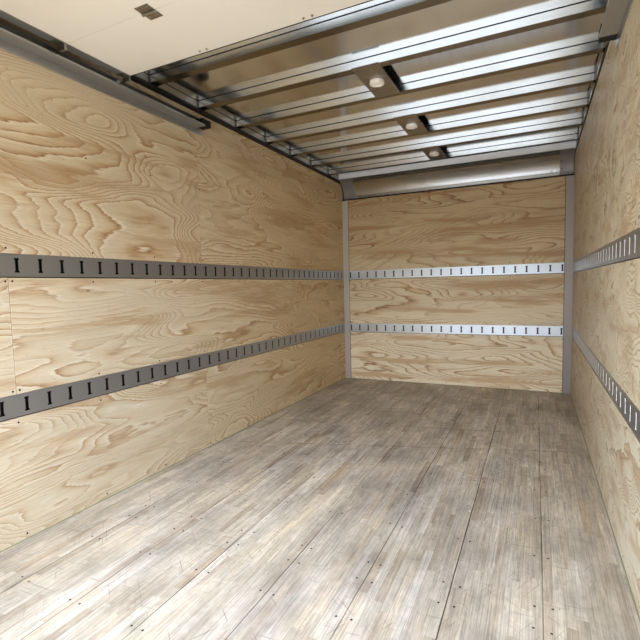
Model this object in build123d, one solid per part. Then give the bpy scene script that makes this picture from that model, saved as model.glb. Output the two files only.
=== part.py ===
from build123d import *
import math
import os

# Cargo box body of a box truck, off its chassis, with its roll-up rear door partly open.
# Frame: +X right, +Y towards the cab end, +Z up, millimetres.
# Origin: middle of the bounding box, on the undersides of the two long sills.

# Cargo space
inside_width = 2305.0
inside_length = 4724.0
inside_height = 2295.0

# Wall build-up, from the cargo side outwards
lining_t = 12.7
panel_t = 50.8
skin_lap = 3.0
joint_gap = 1.5

# Underframe
long_sill_h = 127.0
long_sill_flange = 50.0
long_sill_t = 6.4
chassis_width = 864.0
cross_h = 102.0
cross_flange = 60.0
cross_t = 6.0
cross_first = 177.0
cross_pitch = 304.8
extra_cross_line = 3334.0
frame_pitch = 406.4
bolt_r = 7.0
bolt_spacing = 100.0
bolt_from_end = 450.0

# Floor
floor_t = 28.6
board_count = 8
floor_tuck = 16.0
board_gap = 0.6

# Rear frame
rear_depth = 90.0
rear_post_w = 147.0
rear_header_h = 238.0
rear_plate_t = 6.0
rear_sill_clear = 12.0

# Cargo tie rails with slots
rail_h = 96.5
rail_low_z = 545.0
rail_high_z = 1144.0
rail_face_t = 2.7
rail_top_gap = 1.0
rail_low_gap = 5.0
slot_pitch = 101.6
slot_w = 13.5
slot_h = 62.0
slot_end_w = 20.0
slot_end_h = 8.0
side_slot_start = 62.0
front_slot_start = 15.7

# Lining edges, as drops from the roof sheet or gaps over the floor
side_lining_drop = 80.0
front_lining_drop = 254.0
lining_floor_gap = 3.0
front_trim_w = 70.0

# Rails at the top and bottom of the walls
top_rail_h = 40.0
top_rail_lip = 75.0
top_rail_r = 15.0
bottom_rail_lip = 75.0

# Roof
roof_t = 2.0
roof_edge = 18.0
bow_first = 375.0
bow_h = 43.0
bow_w = 50.0
bow_t = 3.0

# Curved front header and corner caps
header_drop = 250.0
header_reach = 93.5
header_lip_t = 3.5
header_foot = 6.5
cove_drop = 240.0
corner_r = 60.0
left_cap_w = 148.0
right_cap_w = 120.0
cap_flange_t = 4.0
cap_flange_h = 14.0

# Roof lamps, one for every second bay between bows, from the front
plate_w = 156.0
plate_t = 2.0
plate_lap = 12.0
lamp_r = 43.0
lamp_t = 16.0
lamp_count = 3
lamp_bow_count = 2

# Wiring
loom_r = 14.0
wire_r = 3.5
wire_gap = 0.3

# Roll-up door and its tracks
door_front_from_rear = 1751.0
section_count = 6
door_lap = 23.2
section_t = 15.0
section_gap = 2.0
door_edge_gap = 6.0
track_reach = 2438.0
track_leg_reach = 54.0
track_drop = 154.0
track_r = 381.0
track_depth = 60.0
track_h = 48.0
track_w = 72.0
track_t = 3.0
track_lip = 10.0
track_top_share = 0.6
track_leg_h = 38.0
track_foot_gap = 8.0
pin_out = 16.5
roller_gap = 0.3
roller_w = 14.0
roller_in = 35.0
stem_r = 5.0
bracket_w = 46.0
bracket_l = 50.0
lug_w = 12.0
stop_l = 84.0
stop_past = 60.0
hinge_count = 3
hinge_w = 66.0
hinge_l = 42.0
hinge_t = 3.0
knuckle_r = 6.0

# Spring shaft above the rear opening
shaft_y = 78.0
shaft_drop = 73.0
shaft_r = 12.5
spring_r = 33.0
spring_l = 620.0
drum_r = 50.0
drum_w = 36.0
hanger_t = 5.0
hanger_w = 60.0

# Rear fittings and lamps
latch_w = 150.0
latch_h = 120.0
latch_t = 5.0
latch_low = 40.0
boss_w = 44.0
lever_w = 28.0
lever_l = 190.0
tail_lamp_r = 51.0
tail_lamp_t = 12.0
tail_lamp_x = (930.0, 790.0)
marker_r = 24.0
marker_step = 152.4
marker_t = 16.0
bumper_w = 110.0
bumper_h = 190.0
bumper_t = 50.0
bumper_drop = 20.0
bumper_x = 1110.0
handle_h = 420.0
handle_r = 11.0
handle_out = 50.0
handle_low = 420.0

# Worked-out places across the body
half_in = inside_width / 2
half_lining = half_in + lining_t
half_panel = half_lining + panel_t
half_out = half_panel + skin_lap
half_floor = half_in + floor_tuck
wall_t = lining_t + panel_t + skin_lap

# Worked-out heights
cross_z = long_sill_h
floor_low = cross_z + cross_h
floor_z = floor_low + floor_t
roof_z = floor_z + inside_height
bow_z = roof_z - bow_h
rail_block_z = roof_z - top_rail_h
opening_z = roof_z - rear_header_h
track_line_z = roof_z - track_drop
side_lining_top = inside_height - side_lining_drop
front_lining_top = inside_height - front_lining_drop

# Worked-out places along the body: the bounding box is centred on the origin
outside_length = inside_length + wall_t + rear_depth
whole_length = outside_length + bumper_t + marker_t
rear_y = bumper_t - whole_length / 2
frame_y = rear_y + rear_depth
front_y = frame_y + inside_length
front_panel_y = front_y + lining_t
front_skin_y = front_panel_y + panel_t
front_out_y = front_skin_y + skin_lap

# Worked-out sizes of the door
half_door = half_in - track_w - door_edge_gap
section_h = (inside_height - rear_header_h + door_lap) / section_count
roller_r = track_h / 2 - track_t - roller_gap

# Worked-out section of the front header; the cove is an arc that starts upright at its foot
half_root = math.sqrt(0.5)
header_r = wall_t + header_reach
header_lip_y = front_y - header_reach
header_low = roof_z - header_drop
header_top = roof_z + roof_t
header_bend_z = header_top - header_r
cove_top_y = header_lip_y + header_lip_t
cove_low_y = front_out_y - header_foot
cove_low_z = roof_z - cove_drop
cove_deep = cove_low_y - cove_top_y
cove_high = bow_z - cove_low_z
cove_r = (cove_deep**2 + cove_high**2) / (2 * cove_deep)
cove_turn = 2 * math.atan2(cove_deep, cove_high)


def block(x0, x1, y0, y1, z0, z1):
    """A box given by its two sides on each axis."""
    centre = Pos((x0 + x1) / 2, (y0 + y1) / 2, (z0 + z1) / 2)
    return centre * Box(x1 - x0, y1 - y0, z1 - z0)


def along_y(points, y0, y1):
    """An outline of (x, z) points, run from y0 to y1."""
    wire = Polyline(*[(x, y0, z) for x, z in points], close=True)
    return extrude(make_face(wire), amount=y1 - y0, dir=(0, 1, 0))


def along_x(points, x0, x1):
    """An outline of (y, z) points, run from x0 to x1."""
    wire = Polyline(*[(x0, y, z) for y, z in points], close=True)
    return extrude(make_face(wire), amount=x1 - x0, dir=(1, 0, 0))


def along_z(points, z0, z1):
    """An outline of (x, y) points, run from z0 to z1."""
    wire = Polyline(*[(x, y, z0) for x, y in points], close=True)
    return extrude(make_face(wire), amount=z1 - z0, dir=(0, 0, 1))


def rod_x(x0, x1, y, z, radius):
    """A round bar along X."""
    return Pos((x0 + x1) / 2, y, z) * Rot(0, 90, 0) * Cylinder(radius, x1 - x0)


def rod_y(x, y0, y1, z, radius):
    """A round bar along Y."""
    return Pos(x, (y0 + y1) / 2, z) * Rot(90, 0, 0) * Cylinder(radius, y1 - y0)


def other_side(shape):
    """The same shape on the left, from the one on the right."""
    return mirror(shape, about=Plane.YZ)


def both_sides(shape):
    return [shape, other_side(shape)]


def write(node, shapes):
    """Write one node from its pieces, which don't touch each other."""
    solids = [solid for shape in shapes for solid in shape.solids()]
    export_step(Compound(solids), f"parts/{node}.step")


def write_sides(node, shapes):
    """Write a right-hand node and its mirror image on the left."""
    write(f"{node}_right", shapes)
    write(f"{node}_left", [other_side(shape) for shape in shapes])


def long_sill():
    """Channel that rests on the chassis frame, its web outwards and drilled for body bolts."""
    web = chassis_width / 2
    toe = web - long_sill_flange
    outline = [
        (web, 0),
        (web, long_sill_h),
        (toe, long_sill_h),
        (toe, long_sill_h - long_sill_t),
        (web - long_sill_t, long_sill_h - long_sill_t),
        (web - long_sill_t, long_sill_t),
        (toe, long_sill_t),
        (toe, 0),
    ]
    sill = along_y(outline, frame_y, front_out_y)
    for middle in (frame_y + bolt_from_end, front_out_y - bolt_from_end):
        for place in (middle - bolt_spacing / 2, middle + bolt_spacing / 2):
            sill -= rod_x(web - 2 * long_sill_t, web + long_sill_t, place, long_sill_h / 2, bolt_r)
    return sill


def cross_lines():
    """Distances from the front lining to the cross members, one of them doubled."""
    reach = inside_length - cross_first - cross_flange
    count = int(reach / cross_pitch) + 1
    return [cross_first + number * cross_pitch for number in range(count)] + [extra_cross_line]


def cross_member(distance):
    """I-section beam under the floor, from one bottom rail to the other."""
    y = front_y - distance
    web = cross_t / 2
    half = cross_flange / 2
    top = cross_z + cross_h
    outline = [
        (y - half, cross_z),
        (y + half, cross_z),
        (y + half, cross_z + cross_t),
        (y + web, cross_z + cross_t),
        (y + web, top - cross_t),
        (y + half, top - cross_t),
        (y + half, top),
        (y - half, top),
        (y - half, top - cross_t),
        (y - web, top - cross_t),
        (y - web, cross_z + cross_t),
        (y - half, cross_z + cross_t),
    ]
    return along_x(outline, -half_floor, half_floor)


def floor_boards():
    """Laminated hardwood boards side by side, with a thin seam between two boards."""
    board_w = 2 * half_floor / board_count
    boards = []
    for number in range(board_count):
        x0 = -half_floor + number * board_w
        x1 = x0 + board_w
        if number > 0:
            x0 += board_gap / 2
        if number < board_count - 1:
            x1 -= board_gap / 2
        boards.append(block(x0, x1, frame_y, front_y, floor_low, floor_z))
    return boards


def bottom_rail():
    """Side rail at floor level, with a lip up the outside of the wall sheets."""
    outline = [
        (half_floor, cross_z),
        (half_out, cross_z),
        (half_out, floor_z + bottom_rail_lip),
        (half_panel, floor_z + bottom_rail_lip),
        (half_panel, floor_z),
        (half_floor, floor_z),
    ]
    return along_y(outline, frame_y, front_y)


def front_sill():
    """Front rail at floor level, between the corner posts and under them."""
    outline = [
        (front_y, cross_z),
        (front_out_y, cross_z),
        (front_out_y, floor_z + bottom_rail_lip),
        (front_skin_y, floor_z + bottom_rail_lip),
        (front_skin_y, floor_z),
        (front_y, floor_z),
    ]
    return along_x(outline, -half_in, half_in)


def rounded_corner(z0, z1):
    """Plan of the front right corner of the body, rounded outside, as a tall block."""
    square = block(half_in, half_out, front_y, front_out_y, z0, z1)
    outer = square.edges().filter_by(Axis.Z).group_by(Axis.X)[-1].sort_by(Axis.Y)[-1]
    return fillet(outer, min(corner_r, wall_t - skin_lap))


def corner_post():
    """Front corner post: rounded outside, with a flat strip beside the front lining."""
    post = rounded_corner(cross_z, header_low)
    strip = block(half_in - front_trim_w, half_in, front_y, front_panel_y, floor_z, header_low)
    return post + strip


def side_panels():
    """Right wall outside the lining, split where the outer sheets meet."""
    sheet_w = 3 * frame_pitch
    pieces = []
    y1 = front_y
    while y1 > frame_y + joint_gap:
        y0 = y1 - sheet_w
        if y0 < frame_y + frame_pitch / 2:
            y0 = frame_y
        low = y0 + (joint_gap if y0 > frame_y else 0)
        pieces.append(block(half_lining, half_panel, low, y1, floor_z, rail_block_z))
        y1 = y0
    return pieces


def front_panels():
    """Front wall outside the lining, in two sheets with a seam at the middle."""
    gap = joint_gap / 2
    return [
        block(-half_in, -gap, front_panel_y, front_skin_y, floor_z, header_low),
        block(gap, half_in, front_panel_y, front_skin_y, floor_z, header_low),
    ]


def lining_rows(top):
    """Low and high edge of the three plywood rows between the tie rails."""
    return [
        (lining_floor_gap, rail_low_z - rail_low_gap),
        (rail_low_z + rail_h + rail_top_gap, rail_high_z - rail_low_gap),
        (rail_high_z + rail_h + rail_top_gap, top),
    ]


def side_lining():
    """Right-hand plywood: 8 ft sheets, with the middle row's seams staggered by 4 ft."""
    sheet_l = 6 * frame_pitch
    starts = (sheet_l, sheet_l / 2, sheet_l)
    sheets = []
    for (low, high), first in zip(lining_rows(side_lining_top), starts):
        near = 0.0
        far = first
        while near < inside_length - joint_gap:
            far = min(far, inside_length)
            gap = joint_gap if near > 0 else 0
            sheets.append(
                block(
                    half_in,
                    half_lining,
                    front_y - far,
                    front_y - near - gap,
                    floor_z + low,
                    floor_z + high,
                )
            )
            near = far
            far = far + sheet_l
    return sheets


def front_lining():
    """Front plywood, one sheet to a row, between the corner strips."""
    half = half_in - front_trim_w
    return [
        block(-half, half, front_y, front_panel_y, floor_z + low, floor_z + high)
        for low, high in lining_rows(front_lining_top)
    ]


def slot_cutter(u, z):
    """Upright slot of a tie rail with wider ends, at distance u along it."""
    depth = 4 * rail_face_t
    end_up = (slot_h - slot_end_h) / 2
    slot = Pos(u, 0, z) * Box(slot_w, depth, slot_h)
    for up in (-end_up, end_up):
        slot += Pos(u, 0, z + up) * Box(slot_end_w, depth, slot_end_h)
    return slot


def tie_rail(length, first_slot, z):
    """Slotted rail along +X with its face at y = 0 and its back towards +Y."""
    outline = [
        (0, z),
        (0, z + rail_h),
        (lining_t, z + rail_h),
        (lining_t, z + rail_h - rail_face_t),
        (rail_face_t, z + rail_h - rail_face_t),
        (rail_face_t, z + rail_face_t),
        (lining_t, z + rail_face_t),
        (lining_t, z),
    ]
    rail = along_x(outline, 0, length)
    count = int((length - first_slot - slot_end_w / 2) / slot_pitch) + 1
    cutters = [slot_cutter(first_slot + n * slot_pitch, z + rail_h / 2) for n in range(count)]
    return rail - cutters


def side_rails():
    """Two tie rails on the right wall, slots counted from the front."""
    place = Location((half_in, front_y, floor_z), (0, 0, -90))
    return [
        place * tie_rail(inside_length, side_slot_start, rail_low_z),
        place * tie_rail(inside_length, side_slot_start, rail_high_z),
    ]


def front_rails():
    """Two tie rails on the front wall, between the corner strips."""
    half = half_in - front_trim_w
    place = Location((-half, front_y, floor_z))
    return [
        place * tie_rail(2 * half, front_slot_start, rail_low_z),
        place * tie_rail(2 * half, front_slot_start, rail_high_z),
    ]


def top_rail():
    """Right roof rail: a block over the wall and a lip down the outside of the sheets."""
    top = roof_z + roof_t
    edge = half_out - roof_edge
    outline = [
        (half_in, rail_block_z),
        (half_panel, rail_block_z),
        (half_panel, rail_block_z - top_rail_lip),
        (half_out, rail_block_z - top_rail_lip),
        (half_out, top),
        (edge, top),
        (edge, roof_z),
        (half_in, roof_z),
    ]
    rail = along_y(outline, frame_y, front_y - header_reach)
    corner = rail.edges().filter_by(Axis.Y).group_by(Axis.Z)[-1].sort_by(Axis.X)[-1]
    return fillet(corner, min(top_rail_r, roof_edge - roof_t))


def roof_sheet():
    """One sheet over the bows, between the top rails and up to the front header."""
    edge = half_out - roof_edge
    return block(-edge, edge, rear_y, front_y - header_reach, roof_z, roof_z + roof_t)


def bow_lines():
    """Distances from the front lining to the rear webs of the bows."""
    count = int((inside_length - bow_first) / frame_pitch) + 1
    return [bow_first + number * frame_pitch for number in range(count)]


def roof_bow(distance):
    """U-shaped bow under the roof sheet, its rear web at the given distance from the front."""
    y0 = front_y - distance
    y1 = y0 + bow_w
    outline = [
        (y0, roof_z),
        (y0, bow_z),
        (y1, bow_z),
        (y1, roof_z),
        (y1 - bow_t, roof_z),
        (y1 - bow_t, bow_z + bow_t),
        (y0 + bow_t, bow_z + bow_t),
        (y0 + bow_t, roof_z),
    ]
    return along_x(outline, -half_in, half_in)


def header_section(x):
    """Closed section of the front header: convex outside, with a lip and a cove inside."""
    outer_mid = (front_out_y - header_r * (1 - half_root), header_bend_z + header_r * half_root)
    cove_mid = (
        cove_low_y - cove_r * (1 - math.cos(cove_turn / 2)),
        cove_low_z + cove_r * math.sin(cove_turn / 2),
    )

    def spot(y, z):
        return (x, y, z)

    edges = [
        Line(spot(front_out_y, header_low), spot(front_out_y, header_bend_z)),
        ThreePointArc(
            spot(front_out_y, header_bend_z), spot(*outer_mid), spot(header_lip_y, header_top)
        ),
        Line(spot(header_lip_y, header_top), spot(header_lip_y, bow_z)),
        Line(spot(header_lip_y, bow_z), spot(cove_top_y, bow_z)),
        ThreePointArc(spot(cove_top_y, bow_z), spot(*cove_mid), spot(cove_low_y, cove_low_z)),
        Line(spot(cove_low_y, cove_low_z), spot(cove_low_y, header_low)),
        Line(spot(cove_low_y, header_low), spot(front_out_y, header_low)),
    ]
    return make_face(Wire(edges))


def front_header():
    """Curved rail across the top of the front wall, between the two corner caps."""
    left = left_cap_w - half_in
    right = half_in - right_cap_w
    return extrude(header_section(left), amount=right - left, dir=(1, 0, 0))


def corner_cap(width):
    """Cast corner where the front header, the top rail and the corner post meet, on the right."""
    inner = extrude(header_section(half_in - width), amount=width, dir=(1, 0, 0))
    post = block(half_in, half_out, front_y, front_out_y, header_low, header_top)
    over = block(half_in, half_out, header_lip_y, front_y, rail_block_z, header_top)
    quarter = rod_x(half_in, half_out, front_out_y - header_r, header_bend_z, header_r)
    below = block(half_in, half_out, header_lip_y, front_out_y, header_low, header_bend_z)
    plan = block(half_in, half_out, header_lip_y, front_out_y, header_low, header_top)
    upright = plan.edges().filter_by(Axis.Z).group_by(Axis.X)[-1].sort_by(Axis.Y)[-1]
    plan = fillet(upright, min(corner_r, wall_t - skin_lap))
    corner = (post + over) & (quarter + below) & plan
    return inner + corner + cap_flange()


def cap_flange():
    """Thin curved flange of the corner cap, along the side lining under the cove."""
    x0 = half_in - cap_flange_t
    x1 = half_in + cap_flange_t
    hub_y = cove_low_y - cove_r
    ring = rod_x(x0, half_in, hub_y, cove_low_z, cove_r)
    ring -= rod_x(x0 - cap_flange_t, x1, hub_y, cove_low_z, cove_r - cap_flange_h)
    reach = block(x0, half_in, cove_top_y, cove_low_y, cove_low_z, bow_z)
    return ring & reach


def lamp_bows():
    """Number of the bow in front of each roof lamp, the frontmost bow being 0."""
    return [lamp * lamp_bow_count for lamp in range(lamp_count)]


def lamp_plate(bow):
    """Plate under two neighbouring bows that carries a roof lamp."""
    y0 = front_y - (bow_first + (bow + 1) * frame_pitch) - plate_lap
    y1 = front_y - (bow_first + bow * frame_pitch) + plate_lap
    return block(-plate_w / 2, plate_w / 2, y0, y1, bow_z - plate_t, bow_z)


def dome_lamp(bow):
    """Round lamp under the middle of its plate."""
    y = front_y - (bow_first + (bow + 0.5) * frame_pitch)
    z = bow_z - plate_t - lamp_t / 2
    lamp = Pos(0, y, z) * Cylinder(lamp_r, lamp_t)
    return fillet(lamp.edges().group_by(Axis.Z)[0], lamp_t / 3)


def wiring_loom():
    """Loom in the recess over the left lining, with a wire along a bow to each lamp plate."""
    loom_x = -(half_lining - loom_r - wire_gap)
    loom_z = (floor_z + side_lining_top + rail_block_z) / 2
    wiring = rod_y(loom_x, frame_y, front_y - header_reach, loom_z, loom_r)
    for bow in lamp_bows():
        y = front_y - (bow_first + (bow + 1) * frame_pitch) + bow_w + wire_r
        z = bow_z + wire_r
        wiring += rod_x(-half_in + wire_gap, -plate_w / 2, y, z, wire_r)
        x = -half_in + wire_gap
        wiring += block(x, x + 2 * wire_r, y - wire_r, y + wire_r, loom_z, z + wire_r)
    return wiring


def rear_post():
    """Right post of the rear frame, on the rear sill."""
    return block(half_out - rear_post_w, half_out, rear_y, frame_y, floor_z, roof_z)


def rear_header():
    """Channel over the rear opening, open towards the cargo space."""
    half = half_out - rear_post_w
    t = rear_plate_t
    outline = [
        (rear_y, opening_z),
        (frame_y, opening_z),
        (frame_y, opening_z + t),
        (rear_y + t, opening_z + t),
        (rear_y + t, roof_z - t),
        (frame_y, roof_z - t),
        (frame_y, roof_z),
        (rear_y, roof_z),
    ]
    return along_x(outline, -half, half)


def rear_sill():
    """Rear cross rail: threshold on top and a deep apron with the tail lamps."""
    t = rear_plate_t
    outline = [
        (rear_y, rear_sill_clear),
        (frame_y, rear_sill_clear),
        (frame_y, rear_sill_clear + t),
        (rear_y + t, rear_sill_clear + t),
        (rear_y + t, floor_z - t),
        (frame_y - t, floor_z - t),
        (frame_y - t, cross_z),
        (frame_y, cross_z),
        (frame_y, floor_z),
        (rear_y, floor_z),
    ]
    return along_x(outline, -half_out, half_out)


def track_lines():
    """Where the roller line stands upright, bends and runs level, as y and z values."""
    upright_y = frame_y + track_depth
    bend_z = track_line_z - track_r
    level_y = upright_y + track_r
    return upright_y, bend_z, level_y


def door_track():
    """Right-hand track: upright, quarter bend and level run, as one rolled section."""
    upright_y, bend_z, level_y = track_lines()
    # The section is (distance from the wall, distance outwards from the roller line).
    half = track_h / 2
    t = track_t
    section = [
        (0, -half - track_leg_h),
        (t, -half - track_leg_h),
        (t, -half),
        (track_w, -half),
        (track_w, -half + track_lip),
        (track_w - t, -half + track_lip),
        (track_w - t, -half + t),
        (t, -half + t),
        (t, half - t),
        (track_w * track_top_share, half - t),
        (track_w * track_top_share, half),
        (0, half),
    ]
    level = [(half_in - u, track_line_z + v) for u, v in section]
    level_run = along_y(level, level_y, rear_y + track_reach - track_leg_reach)
    upright = [(half_in - u, upright_y - v) for u, v in section]
    upright_run = along_z(upright, floor_z + track_foot_gap, bend_z)
    wire = Polyline(*[(x, level_y, z) for x, z in level], close=True)
    hub = Axis((0, level_y, bend_z), (1, 0, 0))
    bend = revolve(make_face(wire), axis=hub, revolution_arc=90)
    leg = block(
        half_in - t,
        half_in,
        rear_y + track_reach - track_leg_reach,
        rear_y + track_reach,
        track_line_z - half - track_leg_h,
        track_line_z - half,
    )
    return level_run + bend + upright_run + leg


def track_stop():
    """Rubber stop in the front end of the right-hand track."""
    end_y = rear_y + track_reach - track_leg_reach
    half = track_h / 2 - track_t
    return block(
        half_in - track_w + track_t,
        half_in - track_t,
        end_y + stop_past - stop_l,
        end_y + stop_past,
        track_line_z - half,
        track_line_z + half,
    )


def line_point(distance, out):
    """Point (y, z), and the way inwards, a distance along a line outside the roller line."""
    upright_y, bend_z, level_y = track_lines()
    radius = track_r + out
    level_l = rear_y + door_front_from_rear - level_y
    bend_l = radius * math.pi / 2
    angle = min(max((distance - level_l) / radius, 0.0), math.pi / 2)
    forward = max(level_l - distance, 0.0)
    down = max(distance - level_l - bend_l, 0.0)
    y = level_y + forward - radius * math.sin(angle)
    z = bend_z + radius * math.cos(angle) - down
    return (y, z), (math.sin(angle), -math.cos(angle))


def hinge_pins():
    """Both edges and the hinge pins of the door, one section's height apart."""
    halvings = 50
    pins = [line_point(0.0, pin_out)]
    travelled = 0.0
    for _ in range(section_count):
        low = travelled
        high = travelled + 2 * section_h
        for _ in range(halvings):
            middle = (low + high) / 2
            if math.dist(pins[-1][0], line_point(middle, pin_out)[0]) < section_h:
                low = middle
            else:
                high = middle
        travelled = high
        pins.append(line_point(travelled, pin_out))
    return pins


def on_section(start, end, along, inwards):
    """Point (y, z) along a section from its first pin, and inwards from the line of pins."""
    length = math.dist(start, end)
    ty = (end[0] - start[0]) / length
    tz = (end[1] - start[1]) / length
    return start[0] + ty * along - tz * inwards, start[1] + tz * along + ty * inwards


def section_box(start, end, a0, a1, in0, in1, x0, x1):
    """Box in a section's own frame, from x0 to x1."""
    corners = [
        on_section(start, end, a0, in0),
        on_section(start, end, a1, in0),
        on_section(start, end, a1, in1),
        on_section(start, end, a0, in1),
    ]
    return along_x(corners, x0, x1)


def door_sections(points):
    """Flat door sections, their inner faces one knuckle outside the pins."""
    near = section_gap / 2
    far = section_h - section_gap / 2
    face = -knuckle_r
    return [
        section_box(start, end, near, far, face - section_t, face, -half_door, half_door)
        for start, end in zip(points, points[1:])
    ]


def door_hinges(points):
    """Hinges at each line between two sections: a knuckle and two leaves."""
    hinges = []
    step = 2 * half_door / (hinge_count + 1)
    face = -knuckle_r
    top = face + hinge_t
    for before, here, after in zip(points, points[1:], points[2:]):
        for number in range(hinge_count):
            x0 = -half_door + step * (number + 1) - hinge_w / 2
            x1 = x0 + hinge_w
            leaf_a = section_box(before, here, section_h - hinge_l, section_h, face, top, x0, x1)
            leaf_b = section_box(here, after, 0, hinge_l, face, top, x0, x1)
            knuckle = rod_x(x0, x1, here[0], here[1], knuckle_r)
            hinges.append(leaf_a + leaf_b + knuckle)
    return hinges


def door_rollers(pins):
    """Right-hand rollers, one at each pin and edge, with a stem, a lug and a foot."""
    rollers = []
    wheel_x = half_in - roller_in
    inner_x = half_door - bracket_w
    face = -knuckle_r
    last = len(pins) - 1
    for number, (point, inward) in enumerate(pins):
        y = point[0] + inward[0] * pin_out
        z = point[1] + inward[1] * pin_out
        wheel = rod_x(wheel_x - roller_w / 2, wheel_x + roller_w / 2, y, z, roller_r)
        stem = rod_x(inner_x, wheel_x, y, z, stem_r)
        first = min(number, last - 1)
        start = pins[first][0]
        end = pins[first + 1][0]
        foot = (section_gap / 2, bracket_l)
        lug = (section_gap / 2, lug_w)
        if number == last:
            foot = (section_h - foot[1], section_h - foot[0])
            lug = (section_h - lug[1], section_h - lug[0])
        foot_box = section_box(start, end, *foot, face, face + hinge_t, inner_x, half_door)
        lug_box = section_box(start, end, *lug, face, pin_out + stem_r, inner_x, half_door)
        rollers.append(wheel + stem + foot_box + lug_box)
    return rollers


def counterbalance():
    """Spring shaft on three hangers above the rear opening, with springs and cable drums."""
    y = frame_y + shaft_y
    z = roof_z - shaft_drop
    reach = half_in - track_w - 2 * door_edge_gap
    unit = rod_x(-reach, reach, y, z, shaft_r)
    for side in (-1, 1):
        middle = side * reach / 2
        unit += rod_x(middle - spring_l / 2, middle + spring_l / 2, y, z, spring_r)
        edge = side * (reach - drum_w / 2)
        unit += rod_x(edge - drum_w / 2, edge + drum_w / 2, y, z, drum_r)
    back = rear_y + rear_plate_t
    half = hanger_w / 2
    for x in (-reach + 2 * drum_w, 0, reach - 2 * drum_w):
        unit += block(x - hanger_t / 2, x + hanger_t / 2, back, y, z - half, z + half)
    return unit


def door_latch(points):
    """Latch on the outside of the bottom section: base plate, pivot boss and lever."""
    start, end = points[-2], points[-1]
    centre = section_h - latch_low - latch_h / 2
    face = -knuckle_r - section_t
    # Each layer is (half height, nearest and farthest face outwards, low x, high x).
    layers = [
        (latch_h / 2, 0, latch_t, -latch_w / 2, latch_w / 2),
        (boss_w / 2, latch_t, 4 * latch_t, -boss_w / 2, boss_w / 2),
        (lever_w / 2, 4 * latch_t, 6 * latch_t, -boss_w / 2, lever_l - boss_w / 2),
    ]
    solids = [
        section_box(start, end, centre - h, centre + h, face - far, face - near, x0, x1)
        for h, near, far, x0, x1 in layers
    ]
    return solids[0] + solids[1] + solids[2]


def tail_lamps():
    """Two round lamps each side, on the rear sill."""
    z = (rear_sill_clear + floor_z) / 2
    lamps = []
    for x in tail_lamp_x:
        lamp = rod_y(x, rear_y - tail_lamp_t, rear_y, z, tail_lamp_r)
        lamps.append(fillet(lamp.edges().group_by(Axis.Y)[0], tail_lamp_t / 3))
    return [copy for lamp in lamps for copy in both_sides(lamp)]


def marker_lamps(outer_x, y0, y1, z):
    """Five small round lamps in a row: three at the middle and one near each corner."""
    places = (-outer_x, -marker_step, 0.0, marker_step, outer_x)
    return [rod_y(x, y0, y1, z, marker_r) for x in places]


def rear_markers():
    """Marker lamps on the rear header and posts."""
    z = (opening_z + roof_z) / 2
    return marker_lamps(half_out - rear_post_w / 2, rear_y - marker_t, rear_y, z)


def front_markers():
    """Marker lamps on the upright foot of the front header and corner caps."""
    z = (header_low + header_bend_z) / 2
    return marker_lamps(half_in - right_cap_w / 2, front_out_y, front_out_y + marker_t, z)


def grab_handle():
    """Upright handle on the right post of the rear frame."""
    x = half_out - rear_post_w / 2
    z0 = floor_z + handle_low
    z1 = z0 + handle_h
    grip_y = rear_y - handle_out + handle_r
    grip = Pos(x, grip_y, (z0 + z1) / 2) * Cylinder(handle_r, handle_h)
    feet = [rod_y(x, grip_y, rear_y, z, handle_r) for z in (z0 + handle_r, z1 - handle_r)]
    return grip + feet[0] + feet[1]


def dock_bumper():
    """Rubber block on the right end of the rear sill."""
    z1 = floor_z - bumper_drop
    half = bumper_w / 2
    return block(
        bumper_x - half, bumper_x + half, rear_y - bumper_t, rear_y, z1 - bumper_h, z1
    )


os.makedirs("parts", exist_ok=True)

write_sides("long_sill", [long_sill()])
write("cross_members", [cross_member(distance) for distance in cross_lines()])
write("floor_boards", floor_boards())
write("front_sill", [front_sill()])
write_sides("bottom_rail", [bottom_rail()])
write_sides("side_panels", side_panels())
write("front_panels", front_panels())
write_sides("corner_post", [corner_post()])
write_sides("lining", side_lining())
write("lining_front", front_lining())
write_sides("tie_rails", side_rails())
write("tie_rails_front", front_rails())
write_sides("top_rail", [top_rail()])
write("roof_sheet", [roof_sheet()])
write("roof_bows", [roof_bow(distance) for distance in bow_lines()])
write("front_header", [front_header()])
write("corner_cap_right", [corner_cap(right_cap_w)])
write("corner_cap_left", [other_side(corner_cap(left_cap_w))])
write("lamp_plates", [lamp_plate(bow) for bow in lamp_bows()])
write("dome_lamps", [dome_lamp(bow) for bow in lamp_bows()])
write("wiring_loom", [wiring_loom()])
write_sides("rear_post", [rear_post()])
write("rear_header", [rear_header()])
write("rear_sill", [rear_sill()])
write_sides("door_track", [door_track()])
write("track_stops", both_sides(track_stop()))
pins = hinge_pins()
pin_points = [point for point, inward in pins]
write("door_sections", door_sections(pin_points))
write("door_hinges", door_hinges(pin_points))
right_rollers = door_rollers(pins)
write("door_rollers", [copy for roller in right_rollers for copy in both_sides(roller)])
write("counterbalance", [counterbalance()])
write("door_latch", [door_latch(pin_points)])
write("tail_lamps", tail_lamps())
write("rear_markers", rear_markers())
write("front_markers", front_markers())
write("grab_handles", both_sides(grab_handle()))
write("dock_bumpers", both_sides(dock_bumper()))
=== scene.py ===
# %% [markdown]
# # The cargo body of a box truck, seen from inside
#
# The real object is the load box of a medium truck: an aluminium and sheet-metal
# box lined with pine plywood, with a laminated wooden floor, two rows of slotted
# tie rails and a roll-up rear door that is pushed up under the roof. The solid
# model already gives every panel, rail and bow its size and place. This lesson
# gives them their surfaces, and adds the small things that a camera notices:
# screws, rivets, clips, sealant, lamp lenses and worn edges.

# %% Load the fixed frame
import math
import random
from functools import partial

import bmesh
import bpy
from mathutils import Matrix, Vector


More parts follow.
